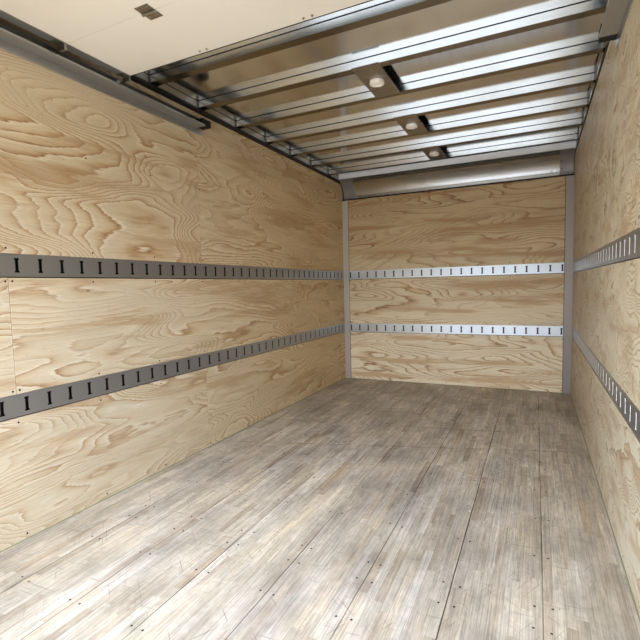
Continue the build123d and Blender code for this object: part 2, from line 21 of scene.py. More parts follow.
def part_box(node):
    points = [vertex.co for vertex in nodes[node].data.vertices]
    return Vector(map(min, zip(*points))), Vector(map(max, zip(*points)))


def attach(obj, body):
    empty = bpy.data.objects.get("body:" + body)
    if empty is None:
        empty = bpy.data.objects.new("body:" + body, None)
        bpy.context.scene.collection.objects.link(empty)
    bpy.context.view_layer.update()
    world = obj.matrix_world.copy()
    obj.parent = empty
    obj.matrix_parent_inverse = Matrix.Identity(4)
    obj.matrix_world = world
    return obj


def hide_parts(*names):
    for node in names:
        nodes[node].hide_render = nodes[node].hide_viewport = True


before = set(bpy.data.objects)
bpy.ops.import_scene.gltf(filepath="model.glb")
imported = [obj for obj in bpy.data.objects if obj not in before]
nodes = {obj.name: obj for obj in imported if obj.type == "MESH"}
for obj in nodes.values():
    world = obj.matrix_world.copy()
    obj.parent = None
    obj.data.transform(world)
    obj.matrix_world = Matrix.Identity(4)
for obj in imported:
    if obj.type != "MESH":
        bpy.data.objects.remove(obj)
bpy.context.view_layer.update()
print("nodes in the frame:", len(nodes))

# %% [markdown]
# Every place below is read from the frame, so the dressing still fits when a
# wall or rail of the solid model moves. Blender works in metres, so the small
# sizes are written in millimetres and multiplied by one named value.

# %% Places that the frame gives
MM = 0.001
half_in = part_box("lining_right")[0].x
front_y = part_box("lining_front")[0].y
rear_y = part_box("rear_post_right")[0].y
frame_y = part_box("floor_boards")[0].y
floor_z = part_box("floor_boards")[1].z
roof_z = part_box("roof_sheet")[0].z
opening_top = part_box("door_sections")[0].z
inside_height = roof_z - floor_z
print("inside:", [round(size, 3) for size in (2 * half_in, front_y - frame_y, inside_height)])

# %% Sizes of the things that repeat
post_pitch = 406.4 * MM
posts_per_sheet = 6
sheet_length = posts_per_sheet * post_pitch
rail_height = 96.5 * MM
rail_low_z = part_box("tie_rails_left")[0].z
rail_high_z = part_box("tie_rails_left")[1].z - rail_height
strip_width = 70 * MM
board_count = 8
floor_low, floor_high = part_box("floor_boards")
board_width = (floor_high.x - floor_low.x) / board_count
print("tie rails over the floor:", [round(z - floor_z, 3) for z in (rail_low_z, rail_high_z)])

# %% [markdown]
# ## The camera
#
# The picture is taken by somebody who stands in the rear opening, near its
# right-hand side, and looks towards the front left corner. The lens is wide and
# level with an adult's chest. The camera comes first, because everything
# that follows is judged through it.

# %% Camera
camera_data = bpy.data.cameras.new("camera")
camera_data.lens = 25.215
camera_data.sensor_width = 36
camera_data.clip_start = 0.01
camera = bpy.data.objects.new("camera", camera_data)
bpy.context.scene.collection.objects.link(camera)
bpy.context.scene.camera = camera

camera_x = 844.8 * MM
camera_behind = 4793.9 * MM
camera_up = 1070.7 * MM
yaw = math.radians(25.757)
pitch = math.radians(-4.262)
roll = math.radians(-1.382)
place = Vector((camera_x, front_y - camera_behind, floor_z + camera_up))
turn = Matrix.Rotation(yaw, 4, "Z") @ Matrix.Rotation(math.pi / 2 + pitch, 4, "X")
turn = turn @ Matrix.Rotation(roll, 4, "Z")
camera.matrix_world = Matrix.Translation(place) @ turn
print("camera at", [round(v, 3) for v in place])

# %% [markdown]
# ## Light
#
# Daylight reaches the load space only through the rear opening. A large soft
# lamp stands in that opening and shines forwards, under the raised door, so the
# floor and walls fade from pale near the door to brown at the front, as they do
# in a real body. The lamp is hidden from reflections, because bare metal should
# mirror the bright open air of the world and not the edge of a lamp.

# %% World
scene = bpy.context.scene
scene.view_settings.view_transform = "Standard"
world = bpy.data.worlds.new("studio")
scene.world = world
world.use_nodes = True
sky = world.node_tree
sky.nodes.clear()


def linear(code):
    """The linear colour of an sRGB hex value, as Blender's sockets take it."""
    shares = [int(code[start:start + 2], 16) / 255 for start in (0, 2, 4)]
    return (*[v / 12.92 if v < 0.04045 else ((v + 0.055) / 1.055) ** 2.4 for v in shares], 1.0)


def add(tree, kind, inputs=(), stops=None, **settings):
    """Add a shader node, with its settings, its linked or plain inputs and its colour stops.

    A kind may carry its operation as a second word. The list for a map range is
    the value, the lowest and highest it takes and the two that they become.
    """
    kind, _, operation = kind.partition(" ")
    made = tree.nodes.new("ShaderNode" + kind)
    if operation:
        made.operation = operation
    for key, value in settings.items():
        setattr(made, key, value)
    if stops:
        while len(made.color_ramp.elements) < len(stops):
            made.color_ramp.elements.new(1.0)
        for element, (position, colour) in zip(made.color_ramp.elements, stops):
            element.position = position
            element.color = linear(colour)
    open_inputs = [socket for socket in made.inputs if socket.enabled]
    pairs = inputs.items() if isinstance(inputs, dict) else enumerate(inputs)
    for key, value in pairs:
        socket = open_inputs[key] if isinstance(key, int) else made.inputs[key]
        if isinstance(value, bpy.types.Node):
            value = next(output for output in value.outputs if output.enabled)
        if isinstance(value, bpy.types.NodeSocket):
            tree.links.new(value, socket)
        else:
            socket.default_value = value
    return made


fill_strength = 0.75
path = add(sky, "LightPath")
seen = add(sky, "Math MAXIMUM", [path.outputs["Is Camera Ray"], path.outputs["Is Glossy Ray"]])
seen = add(sky, "Math MAXIMUM", [seen, path.outputs["Is Transmission Ray"]])
level = add(sky, "MapRange", {"Value": seen, "To Min": fill_strength})
glow = add(sky, "Background", {"Color": linear("EEF4FF"), "Strength": level})
add(sky, "OutputWorld", {"Surface": glow})
print("world fill:", fill_strength)


# %% Lamps
def area_lamp(name, place, target, size, power, colour, glossy=True, spread=180):
    """A soft rectangular lamp that shines from its place to its target."""
    lamp = bpy.data.lights.new(name, "AREA")
    lamp.shape = "RECTANGLE"
    lamp.size, lamp.size_y = size
    lamp.energy = power
    lamp.color = linear(colour)[:3]
    lamp.spread = math.radians(spread)
    holder = bpy.data.objects.new(name, lamp)
    scene.collection.objects.link(holder)
    holder.location = place
    holder.rotation_euler = (Vector(target) - Vector(place)).to_track_quat("-Z", "Y").to_euler()
    holder.visible_camera = False
    holder.visible_glossy = glossy
    return holder


opening_height = opening_top - floor_z
opening_size = (2 * half_in - 60 * MM, opening_height - 60 * MM)
studio_size = (4.0, 4.0)
halfway = floor_z + opening_height / 2
roof_middle = (front_y + frame_y) / 2 + 0.5
roof_bounce_size = (2 * half_in - 200 * MM, 3.2)
body_middle = (0, 0, 1.2)
at_floor = (0, rear_y + 1.8, floor_z)
above_opening = (0, rear_y + 1.2, halfway + 1.3)
straight_ahead = (0, rear_y + 1.0, halfway)
below_roof = (0, roof_middle, roof_z - 250 * MM)
daylight = area_lamp(
    "daylight", (0, rear_y + 5 * MM, halfway), at_floor, opening_size, 65, "DDE9FF", False, 110,
)
yard_bounce = area_lamp(
    "yard_bounce", (0, rear_y + 15 * MM, halfway), above_opening, opening_size, 28, "FFF0DC", False, 130,
)
area_lamp("roof_bounce", below_roof, (0, roof_middle, floor_z), roof_bounce_size, 2, "FFDDB0", False)
doorway = area_lamp(
    "bright_doorway", (0, rear_y + 2 * MM, halfway), straight_ahead, opening_size, 4.1, "F4F8FF",
)
doorway.visible_diffuse = False
area_lamp("key", (5.5, -7.0, 6.5), body_middle, studio_size, 270, "FFFDF8")
area_lamp("fill", (-7.0, 4.5, 4.0), body_middle, studio_size, 160, "F8FBFF")
print("lamps:", len(bpy.data.lights))

# %% [markdown]
# ## The studio floor
#
# A plain pale ground under the body. It isn't part of the object. The lamps in
# the opening stand partly behind the rear frame, so the rear frame and the
# ground are taken off the list of what they light.

# %% Ground
ground_reach = 60
ground_mesh = bmesh.new()
bmesh.ops.create_grid(ground_mesh, x_segments=1, y_segments=1, size=ground_reach)
ground_data = bpy.data.meshes.new("ground")
ground_mesh.to_mesh(ground_data)
ground_mesh.free()
ground = bpy.data.objects.new("ground", ground_data)
scene.collection.objects.link(ground)
unlit = bpy.data.collections.new("not_lit_by_the_opening")
rear_frame = ("rear_sill", "rear_post_left", "rear_post_right", "rear_header")
for piece in (ground, *[nodes[name] for name in rear_frame]):
    unlit.objects.link(piece)
for lamp in (daylight, yard_bounce):
    lamp.light_linking.receiver_collection = unlit
for entry in unlit.collection_objects:
    entry.light_linking.link_state = "EXCLUDE"


# %% [markdown]
# ## Finishes
#
# Each finish starts from what the real material is. A helper makes an empty
# material and hands back a way to add to its nodes, its shader and the place of
# each point on the object, because every pattern here is laid out in real
# millimetres. Most patterns are noise that is stretched along a grain.

# %% Start of every finish
def finish(name, colour, roughness, metallic=0.0, **sockets):
    """A material with one Principled shader, the call that adds its nodes, and the place of a point."""
    material = bpy.data.materials.new(name)
    material.use_nodes = True
    material.node_tree.nodes.clear()
    put = partial(add, material.node_tree)
    plain = {"Base Color": linear(colour), "Roughness": roughness, "Metallic": metallic}
    shader = put("BsdfPrincipled", {**plain, **sockets})
    put("OutputMaterial", {"Surface": shader})
    return material, put, shader, put("TexCoord").outputs["Object"]


def feed(shader, **links):
    """Link nodes to the sockets of a shader, with Base_Color for a name of two words."""
    for key, value in links.items():
        output = next(socket for socket in value.outputs if socket.enabled)
        shader.id_data.links.new(output, shader.inputs[key.replace("_", " ")])


def streaks(put, vector, waves, detail=0.0, rough=0.5):
    """Noise with its own number of waves per metre along each axis."""
    moved = put("VectorMath MULTIPLY", [vector, waves])
    return put("TexNoise", {"Vector": moved, "Scale": 1.0, "Detail": detail, "Roughness": rough})


ground_finish, put, shader, place = finish("seamless_paper", "F2F2F0", 0.9)
path = put("LightPath")
mirrored = put("Math MAXIMUM", [path.outputs["Is Glossy Ray"], path.outputs["Is Transmission Ray"]])
seen = put("Math MAXIMUM", [path.outputs["Is Camera Ray"], mirrored])
tint = put("MixRGB", [seen, linear("8E8C86"), linear("F2F2F0")])
lift = put("Math MULTIPLY", [path.outputs["Is Camera Ray"], 0.26])
lift = put("Math MULTIPLY_ADD", [mirrored, 0.6, lift])
shader.inputs["Emission Color"].default_value = linear("F4F8FF")
clear_from_below = put("Math SUBTRACT", [1.0, put("NewGeometry").outputs["Backfacing"]])
feed(shader, Base_Color=tint, Emission_Strength=lift, Alpha=clear_from_below)
ground.data.materials.append(ground_finish)
print("first finish:", ground_finish.name)

# %% [markdown]
# ### Rotary-cut pine plywood
#
# A veneer lathe peels the log like paper from a roll, so the blade cuts each
# growth ring at a flat angle. The late wood then shows as brown contour lines,
# like the lines on a map, long in the direction of the grain and closing round
# high spots. A height field of stretched noise gives the hills. Each layer of
# noise is pushed through a smooth step, so there are level places with hardly a
# line and slopes where the lines crowd together. The fraction of the height
# gives the lines: a slow rise from cream to tan, then a sharp fall back. The
# lines fade in and out, long tan smudges lie along the grain, and a few
# pin knots are scattered over it. Light and shade are painted in as well: each
# wall has its own painted brightness, a painted tint fades from the lit end of
# the wall to its shaded end, and a painted highlight runs beside each seam of
# the side walls.

# %% Plywood
late_wood = [
    (0.00, "D1B991"),
    (0.05, "E6DBC1"),
    (0.22, "D9CAA9"),
    (0.50, "D6C5A2"),
    (0.73, "CCB48E"),
    (0.89, "B99971"),
    (0.96, "9C7852"),
    (1.00, "D1B991"),
]
dark_late_wood = [
    (0.00, "C9B08A"),
    (0.05, "DCCDAE"),
    (0.20, "D7C7A6"),
    (0.58, "D5C5A3"),
    (0.80, "C8AE88"),
    (0.91, "AB8964"),
    (0.96, "7C5A3A"),
    (1.00, "C9B08A"),
]
pine_plain = linear("D8C8A8")
pine_tan = linear("B99A72")
knot_brown = linear("5B3F27")
knots_per_metre = 2.6
knot_size = 10 * MM * knots_per_metre
height_layers = [
    (0.36, 1.25, 1.0, 0.38, 0.62, 12.0),
    (0.85, 3.2, 1.7, 0.40, 0.60, 8.0),
    (0.22, 0.70, 2.9, 0.20, 0.80, 8.0),
]
ripple_layers = [(1.9, 7.5, 2.0), (5.5, 26.0, 1.0), (9.0, 230.0, 0.42)]
# At each seam of a side wall: a pale line, a painted highlight on the sheet edge, and then a dark joint line.
seam_highlight_and_joint = [(0.4980, 0.4986, 1.14), (0.4992, 0.4997, 0.66)]


def plywood(name, along, seed, stretch, crowd, rings, strength, painted_brightness, tan_strength, painted_light_tints):
    """Pine veneer whose grain runs along one axis, each sheet cut from another part of the log, with painted
    light and shade on the wall.
    """
    material, put, shader, place = finish(name, "D8C199", 0.5)
    apart = put("SeparateXYZ", [place])
    run = apart.outputs[along]
    up = apart.outputs["Z"]
    above_low = put("Math GREATER_THAN", [up, rail_low_z + rail_height / 2])
    above_high = put("Math GREATER_THAN", [up, rail_high_z + rail_height / 2])
    middle_row = put("Math SUBTRACT", [above_low, above_high])
    row = put("Math ADD", [above_low, above_high])
    back = put("Math SUBTRACT", [front_y, run])
    if along == "X":
        back = put("Math MULTIPLY", [row, 3.1 * sheet_length])
    shifted = put("Math MULTIPLY_ADD", [middle_row, sheet_length / 2, back])
    columns = put("Math DIVIDE", [shifted, sheet_length])
    sheet = put("Math MULTIPLY_ADD", [row, 7.3, seed])
    sheet = put("Math MULTIPLY_ADD", [put("Math FLOOR", [columns]), 3.7, sheet])
    flat = put("CombineXYZ", [put("Math DIVIDE", [run, stretch]), up, sheet])

    height = put("Math MULTIPLY", [up, 1.8])
    for spread_x, spread_z, slice_step, low, high, amount in height_layers:
        layer = streaks(put, flat, (spread_x, spread_z, slice_step), 1.5, 0.45)
        layer = put("MapRange", [layer, low, high, 0.0, amount], interpolation_type="SMOOTHSTEP")
        height = put("Math ADD", [height, layer])
    for spread_x, spread_z, amount in ripple_layers:
        layer = streaks(put, flat, (spread_x, spread_z, 2.3), 2.0)
        height = put("Math MULTIPLY_ADD", [layer, amount, height])
    density = put("TexWhiteNoise", {"W": sheet}, noise_dimensions="1D")
    density = put("MapRange", [density, 0.0, 1.0, 0.7 * crowd, crowd])
    ring = put("Math FRACT", [put("Math MULTIPLY", [height, density])])
    wood = put("ValToRGB", [ring], stops=rings)

    fade = streaks(put, flat, (1.1, 4.2, 5.3), 3.0, 0.6)
    fade = put("MapRange", [fade, 0.37, 0.60, 0.26 * strength, strength])
    wood = put("MixRGB", [fade, pine_plain, wood])
    comb = streaks(put, flat, (9.0, 230.0, 8.3), 2.0)
    smudge = put("Math MULTIPLY_ADD", [comb, 0.30, streaks(put, flat, (1.4, 11.0, 4.7), 2.0)])
    smudge = put("MapRange", [smudge, 0.69, 0.80, 0.0, tan_strength])
    wood = put("MixRGB", [smudge, wood, pine_tan])
    check = put("MapRange", [streaks(put, flat, (26.0, 330.0, 6.1)), 0.79, 0.84, 0.0, 0.55])
    wood = put("MixRGB", [check, wood, knot_brown])

    cells = put("VectorMath MULTIPLY", [flat, (knots_per_metre, 1.9 * knots_per_metre, 1.0)])
    cells = put("TexVoronoi", {"Vector": cells, "Scale": 1.0, "Randomness": 1.0})
    few = put("SeparateXYZ", [cells.outputs["Color"]])
    few = put("Math GREATER_THAN", [few.outputs["X"], 0.62])
    knot = put("MapRange", [cells.outputs["Distance"], 0.5 * knot_size, 1.6 * knot_size, 0.8, 0.0])
    wood = put("MixRGB", [put("Math MULTIPLY", [knot, few]), wood, knot_brown])

    fibre = streaks(put, flat, (7.0, 420.0, 3.1), 2.0, 0.6)
    tone = streaks(put, flat, (1.0, 5.0, 4.1), 6.0, 0.68)
    streak = put("MapRange", [fibre, 0.3, 0.7, 0.90, 1.07])
    # Painted light: the brightness factor makes the whole wall lighter or darker, as light falls on it.
    patch = put("MapRange", [tone, 0.3, 0.7, 0.89 * painted_brightness, 1.07 * painted_brightness])
    shade = put("Math MULTIPLY", [streak, patch])
    if along == "Y":
        seam = put("Math SUBTRACT", [put("Math FRACT", [columns]), 0.5])
        seam = put("Math ABSOLUTE", [seam])
        for near_edge, at_edge, change in seam_highlight_and_joint:
            edge = put("MapRange", [seam, near_edge, at_edge, 1.0, change])
            shade = put("Math MULTIPLY", [shade, edge])
    wood = put("VectorMath SCALE", {0: wood, "Scale": shade})
    # Painted light and shade: on the side walls the tint fades from the lit rear to the shaded front, and on
    # the front wall from the lit foot to the shaded top.
    reach, pale_at, span = run, front_y - 3.6, 3.0
    if along == "X":
        reach, pale_at, span = up, floor_z, 0.8 * inside_height
    painted_light_ramp = put("MapRange", [reach, pale_at, pale_at + span], interpolation_type="SMOOTHSTEP")
    tint = put("MixRGB", [painted_light_ramp, linear(painted_light_tints[0]), linear(painted_light_tints[1])])
    wood = put("VectorMath MULTIPLY", [wood, tint])
    bump = put("Bump", {"Height": fibre, "Strength": 0.12, "Distance": 0.4 * MM})
    feed(shader, Base_Color=wood, Normal=bump)
    return material


finishes = {}
# The last values of each wall are its painted brightness and its painted light tints at the lit and shaded
# ends; the right wall is painted much brighter, with a blue tint near the door.
finishes["pine_plywood"] = plywood(
    "pine_plywood_left", "Y", 11.0, 1.0, 1.1, late_wood, 1.05, 0.98, 0.65, ("F6F8FF", "FCF1DC"),
)
pine_right = plywood(
    "pine_plywood_right", "Y", 52.0, 0.42, 1.25, dark_late_wood, 1.4, 1.40, 0.7, ("E9F3FF", "C8CACD"),
)
pine_front = plywood(
    "pine_plywood_front", "X", 94.0, 1.3, 0.85, dark_late_wood, 1.15, 1.07, 0.9, ("FFFFFF", "C8BCA8"),
)
print("sheet length:", round(sheet_length, 3))

# %% [markdown]
# ### Laminated hardwood floor
#
# The floor boards are glued up from hardwood strips about 32 mm wide, with
# butted ends at staggered places. Years of pallets and trolleys scrub the oil
# out, so the strips go grey and pale, each in its own tone. Strip and segment
# numbers come from the place, and white noise turns each number pair into a
# tone.

# %% Floor finish
strips_per_board = 9
strip_w = board_width / strips_per_board
widest_joint = 6
strip_tones = [
    (0.00, "B0A391"),
    (0.14, "BCB2A2"),
    (0.42, "C1B8A9"),
    (0.64, "C7BFB1"),
    (0.80, "C6B9A5"),
    (0.93, "CFC8BC"),
    (1.00, "B5A48E"),
]
drag_lines = [(front_y - 1.52, 0.19), (front_y - 1.97, 0.30)]
skid_rings = [(0.33, 1.94, 0.10), (-0.74, -0.03, 0.14), (0.52, 0.35, 0.19)]
scratch_sets = [(0.5, 170.0), (-0.9, 210.0), (1.5, 150.0)]


def hardwood(name):
    """Scrubbed laminated strips with staggered butt ends, open joints, grime, scratches and chips."""
    material, put, shader, place = finish(name, "B9AFA0", 0.5)

    def noise(vector, waves, low, high, at_low, at_high, detail=3.0):
        """Stretched noise mapped from one range to another."""
        return put("MapRange", [streaks(put, vector, waves, detail, 0.6), low, high, at_low, at_high])

    def off_middle(value):
        """How far the fraction of a value is from a half, so 0.5 is a joint."""
        return put("Math ABSOLUTE", [put("Math SUBTRACT", [put("Math FRACT", [value]), 0.5])])

    apart = put("SeparateXYZ", [place])
    forward = apart.outputs["Y"]
    across = put("Math SUBTRACT", [apart.outputs["X"], floor_low.x])
    strips = put("Math DIVIDE", [across, strip_w])
    boards = put("Math DIVIDE", [across, board_width])
    strip = put("Math FLOOR", [strips])
    shift = put("TexWhiteNoise", {"W": strip}, noise_dimensions="1D")
    length = put("SeparateXYZ", [shift.outputs["Color"]])
    length = put("MapRange", [length.outputs["Y"], 0.0, 1.0, 0.26, 0.60])
    runs = put("Math MULTIPLY_ADD", [shift.outputs["Value"], 9.0, put("Math DIVIDE", [forward, length])])
    segment = put("Math FLOOR", [runs])
    tone = put("CombineXYZ", [strip, segment, 0.0])
    tone = put("TexWhiteNoise", {"Vector": tone}, noise_dimensions="2D")
    base = put("ValToRGB", [tone.outputs["Value"]], stops=strip_tones)

    grain = put("CombineXYZ", [apart.outputs["X"], forward, segment])
    fine_grain = streaks(put, grain, (420.0, 12.0, 3.0), 3.0, 0.6)
    shade = put("MapRange", [fine_grain, 0.30, 0.72, 0.84, 1.15])
    for vector, waves, low, high, at_low, at_high, detail in (
        (grain, (150.0, 4.0, 1.0), 0.64, 0.46, 0.74, 1.04, 3.0),
        (grain, (46.0, 2.6, 2.0), 0.30, 0.70, 0.88, 1.11, 3.0),
        (grain, (190.0, 13.0, 5.0), 0.74, 0.62, 0.66, 1.0, 2.0),
        (place, (5.0, 3.2, 1.0), 0.36, 0.66, 1.17, 0.71, 6.0),
        (place, (60.0, 34.0, 1.0), 0.30, 0.70, 0.90, 1.07, 4.0),
    ):
        layer = noise(vector, waves, low, high, at_low, at_high, detail)
        shade = put("Math MULTIPLY", [shade, layer])

    for pieces, seed, edge_low, edge_high, closed, opened in (
        (strips, 3.7, 0.455, 0.495, 0.97, 0.60),
        (boards, 9.1, 0.4895, 0.4965, 0.62, 0.12),
    ):
        number = put("Math FLOOR", [put("Math ADD", [pieces, 0.5])])
        number = put("Math MULTIPLY", [number, seed])
        opening = put("CombineXYZ", [number, put("Math MULTIPLY", [forward, 1.4]), 0.0])
        opening = put("TexNoise", {"Vector": opening, "Scale": 1.0, "Detail": 2.0})
        widest = put("Math COMPARE", [number, widest_joint * seed, 0.1])
        opening = put("Math MULTIPLY_ADD", [widest, 0.14, opening])
        opening = put("MapRange", [opening, 0.42, 0.62, closed, opened])
        joint = put("MapRange", [off_middle(pieces), edge_low, edge_high, 1.0, opening])
        shade = put("Math MULTIPLY", [shade, joint])
    # A pale line along one side of each board joint.
    pale_line_beside_joint = off_middle(put("Math SUBTRACT", [boards, 0.013]))
    pale_line_beside_joint = put("MapRange", [pale_line_beside_joint, 0.489, 0.497, 1.0, 1.16])
    shade = put("Math MULTIPLY", [shade, pale_line_beside_joint])

    rubbed = noise(place, (3.0, 26.0, 1.0), 0.50, 0.72, 0.0, 0.30)
    front = put("MapRange", [forward, front_y - 2.4, front_y - 0.9])
    grime = noise(place, (12.0, 3.5, 1.0), 0.50, 0.66, 0.0, 0.42, 4.0)
    beside = put("MapRange", [off_middle(boards), 0.40, 0.49])
    marks = [put("Math MULTIPLY", [rubbed, front]), put("Math MULTIPLY", [grime, beside])]
    for line_y, slant in drag_lines:
        line = put("Math MULTIPLY_ADD", [apart.outputs["X"], slant, line_y])
        line = put("Math ABSOLUTE", [put("Math SUBTRACT", [forward, line])])
        marks.append(put("MapRange", [line, 2 * MM, 9 * MM, 0.38, 0.0]))
    for x, y, radius in skid_rings:
        away = put("VectorMath DISTANCE", [place, (x, y, floor_z)])
        away = put("Math ABSOLUTE", [put("Math SUBTRACT", [away.outputs["Value"], radius])])
        marks.append(put("MapRange", [away, 2 * MM, 7 * MM, 0.28, 0.0]))
    for angle, waves_across in scratch_sets:
        slanted = put("VectorRotate", {"Vector": place, "Angle": angle}, rotation_type="Z_AXIS")
        marks.append(noise(slanted, (waves_across, 6.0, 1.0), 0.68, 0.75, 0.0, 0.36, 1.0))
    specks = put("VectorMath MULTIPLY", [place, (15.0, 11.0, 1.0)])
    specks = put("TexVoronoi", {"Vector": specks, "Scale": 1.0, "Randomness": 1.0})
    marks.append(put("MapRange", [specks.outputs["Distance"], 0.025, 0.055, 0.55, 0.0]))
    dark = marks[0]
    for mark in marks[1:]:
        dark = put("Math MAXIMUM", [dark, mark])
    broken = noise(place, (5.0, 5.0, 5.0), 0.40, 0.54, 0.0, 1.0)
    dark = put("Math MULTIPLY", [dark, broken])
    door_end = put("MapRange", [forward, frame_y + 0.1, frame_y + 1.3, 0.24, 0.0])
    keep_light = put("Math SUBTRACT", [1.0, put("Math ADD", [dark, door_end])])
    shade = put("Math MULTIPLY", [shade, keep_light])
    wood = put("VectorMath SCALE", {0: base, "Scale": shade})

    cast = noise(place, (4.5, 2.6, 1.0), 0.36, 0.64, 0.0, 1.0, 2.0)
    cast = put("MixRGB", [cast, linear("FFFCF4"), linear("F9F8F8")])
    wood = put("VectorMath MULTIPLY", [wood, cast])
    smear = noise(place, (16.0, 2.0, 1.0), 0.56, 0.76, 0.0, 0.5, 4.0)
    wood = put("MixRGB", [smear, wood, linear("948374")])
    chips = put("VectorMath MULTIPLY", [place, (7.0, 5.0, 1.0)])
    chips = put("TexVoronoi", {"Vector": chips, "Scale": 1.0, "Randomness": 1.0})
    chips = put("MapRange", [chips.outputs["Distance"], 0.020, 0.045, 0.8, 0.0])
    wood = put("MixRGB", [chips, wood, linear("E6DFD2")])
    bump = put("Bump", {"Height": fine_grain, "Strength": 0.15, "Distance": 0.5 * MM})
    feed(shader, Base_Color=wood, Normal=bump)
    return material


finishes["hardwood_floor"] = hardwood("laminated_hardwood")
print("strip width:", round(strip_w, 4))


# %% [markdown]
# ### Metals and paints
#
# Mill-finish aluminium comes from the rolling mill with fine lines along the
# sheet and a soft mirror shine. Galvanised steel has a duller, slightly mottled
# zinc skin. Both are full metals, so their tone comes from what they mirror, and
# the pattern only changes their colour and roughness a little. A few of them also
# carry painted light: a painted shade and painted reflection of the floor on the
# undersides of the bows, painted shade in the slots of the front and left tie
# rails and painted glints on the slot edges of the right ones, and a lit and a
# shaded copy of the corner strips.

# %% Metals
def load_space(put, place, margin):
    """One inside the load space, up to a margin behind its linings, and nothing elsewhere."""
    apart = put("SeparateXYZ", [place])
    side = put("Math ABSOLUTE", [apart.outputs["X"]])
    side = put("Math LESS_THAN", [side, half_in + margin])
    ahead = put("Math LESS_THAN", [apart.outputs["Y"], front_y + margin])
    return put("Math MULTIPLY", [side, ahead])


def metal(name, colour, roughness, waves, spread, metallic=1.0, dirt="5A5146", dirt_amount=0.25,
          depth=0.1 * MM, painted_underside=None, dents=(), painted_edge_tone=None, inside=None):
    """A bare metal with rolling lines along its grain, mottling and a little dirt, and where asked, painted
    light and shade on some of its faces.
    """
    material, put, shader, place = finish(name, colour, roughness, metallic)
    lines = streaks(put, place, waves, 3.0, 0.6)
    stain = put("TexNoise", {"Vector": place, "Scale": 2.6, "Detail": 4.0, "Roughness": 0.6})
    rough = put("MapRange", [lines, 0.3, 0.7, roughness - spread, roughness + spread])
    dirty = put("MapRange", [stain, 0.5, 0.8, 0.0, dirt_amount])
    tint = put("MixRGB", [dirty, linear(colour), linear(dirt)])
    # Painted shade and painted reflection: faces below a level take another colour, which on the bows is the
    # brown of the floor they face.
    if painted_underside:
        level, underside_tone = painted_underside
        low = put("SeparateXYZ", [place])
        low = put("Math LESS_THAN", [low.outputs["Z"], level])
        tint = put("MixRGB", [low, tint, linear(underside_tone)])
    # Inside the load space the metal takes another tone; on the corner strips this is painted light, pale on
    # the left and painted shade on the right.
    if inside:
        margin, inside_tone = inside
        tint = put("MixRGB", [load_space(put, place, margin), tint, linear(inside_tone)])
    # Faces that look along one axis lose their metal and take a plain colour: near black as painted shade in
    # the slots, pale as painted glints on slot edges.
    if painted_edge_tone:
        axis, painted_edge_colour = painted_edge_tone
        facing = put("SeparateXYZ", [put("NewGeometry").outputs["Normal"]])
        cut = put("Math ABSOLUTE", [facing.outputs[axis]])
        cut = put("Math GREATER_THAN", [cut, 0.9])
        tint = put("MixRGB", [cut, tint, linear(painted_edge_colour)])
        feed(shader, Metallic=put("MapRange", [cut, 0.0, 1.0, metallic, 0.0]))
    height = put("Math MULTIPLY", [lines, depth])
    for x, y, z, radius, sunk in dents:
        away = put("VectorMath DISTANCE", [place, (x, y, z)]).outputs["Value"]
        away = put("MapRange", [away, 0.0, radius, -sunk, 0.0], interpolation_type="SMOOTHSTEP")
        height = put("Math ADD", [height, away])
    bump = put("Bump", {"Height": height, "Strength": 0.5 if dents else 0.05, "Distance": 1.0})
    feed(shader, Base_Color=tint, Roughness=rough, Normal=bump)
    return material


bow_low, bow_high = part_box("roof_bows")
warm = {"dirt": "B5AC9E"}
grey = {"dirt": "9A948A"}
along_body = (300.0, 6.0, 300.0)
across_body = (6.0, 300.0, 300.0)
along_rail = (90.0, 8.0, 260.0)
header_dents = [
    (-0.230, 2.4345, 2.3905, 0.030, 0.9 * MM),
    (0.978, 2.447, 2.352, 0.026, 0.9 * MM),
    (0.843, 2.448, 2.346, 0.018, 0.6 * MM),
]
finishes["mill_aluminium"] = metal("mill_aluminium", "F0F1F2", 0.20, along_body, 0.03, **warm)
finishes["cast_aluminium"] = metal(
    "cast_aluminium", "96938C", 0.42, (40.0, 40.0, 40.0), 0.06, 0.6, dirt="57524A", dirt_amount=0.7,
)
finishes["galvanised_steel"] = metal("galvanised_steel", "A6A9AB", 0.32, along_rail, 0.04, 0.75, **grey)
finishes["zinc_steel"] = metal("zinc_plated_steel", "A9A79F", 0.34, (60.0, 60.0, 60.0), 0.05)
finishes["stainless_steel"] = metal("stainless_steel", "B5B5B2", 0.24, (260.0, 260.0, 8.0), 0.04)
# The undersides of the bows are brown grey: painted shade and a painted reflection of the floor.
bow_aluminium = metal(
    "bow_aluminium", "E3E3DE", 0.20, across_body, 0.03, painted_underside=(bow_low.z + 1 * MM, "8D8576"), **warm,
)
header_aluminium = metal(
    "rolled_header_aluminium", "C9CAC9", 0.20, across_body, 0.04, dirt="A59C8E", dirt_amount=0.5,
    dents=header_dents,
)
# The slot walls of the front tie rails, the faces that look along X, are near black: painted shade in the
# slots.
new_galvanised = metal(
    "bright_galvanised_steel", "EAF3FC", 0.31, (8.0, 90.0, 120.0), 0.01, 0.95, dirt="C4C2BA", depth=0.02 * MM,
    painted_edge_tone=("X", "1A1A19"),
)
roof_aluminium = metal(
    "weathered_roof_sheet", "E9EEF4", 0.13, (2.5, 2.5, 2.5), 0.02, dirt="A8A29A", depth=1.5 * MM,
)
plate_aluminium = metal("lamp_plate_aluminium", "A5A19A", 0.28, (8.0, 260.0, 8.0), 0.03, dirt="8F867A")
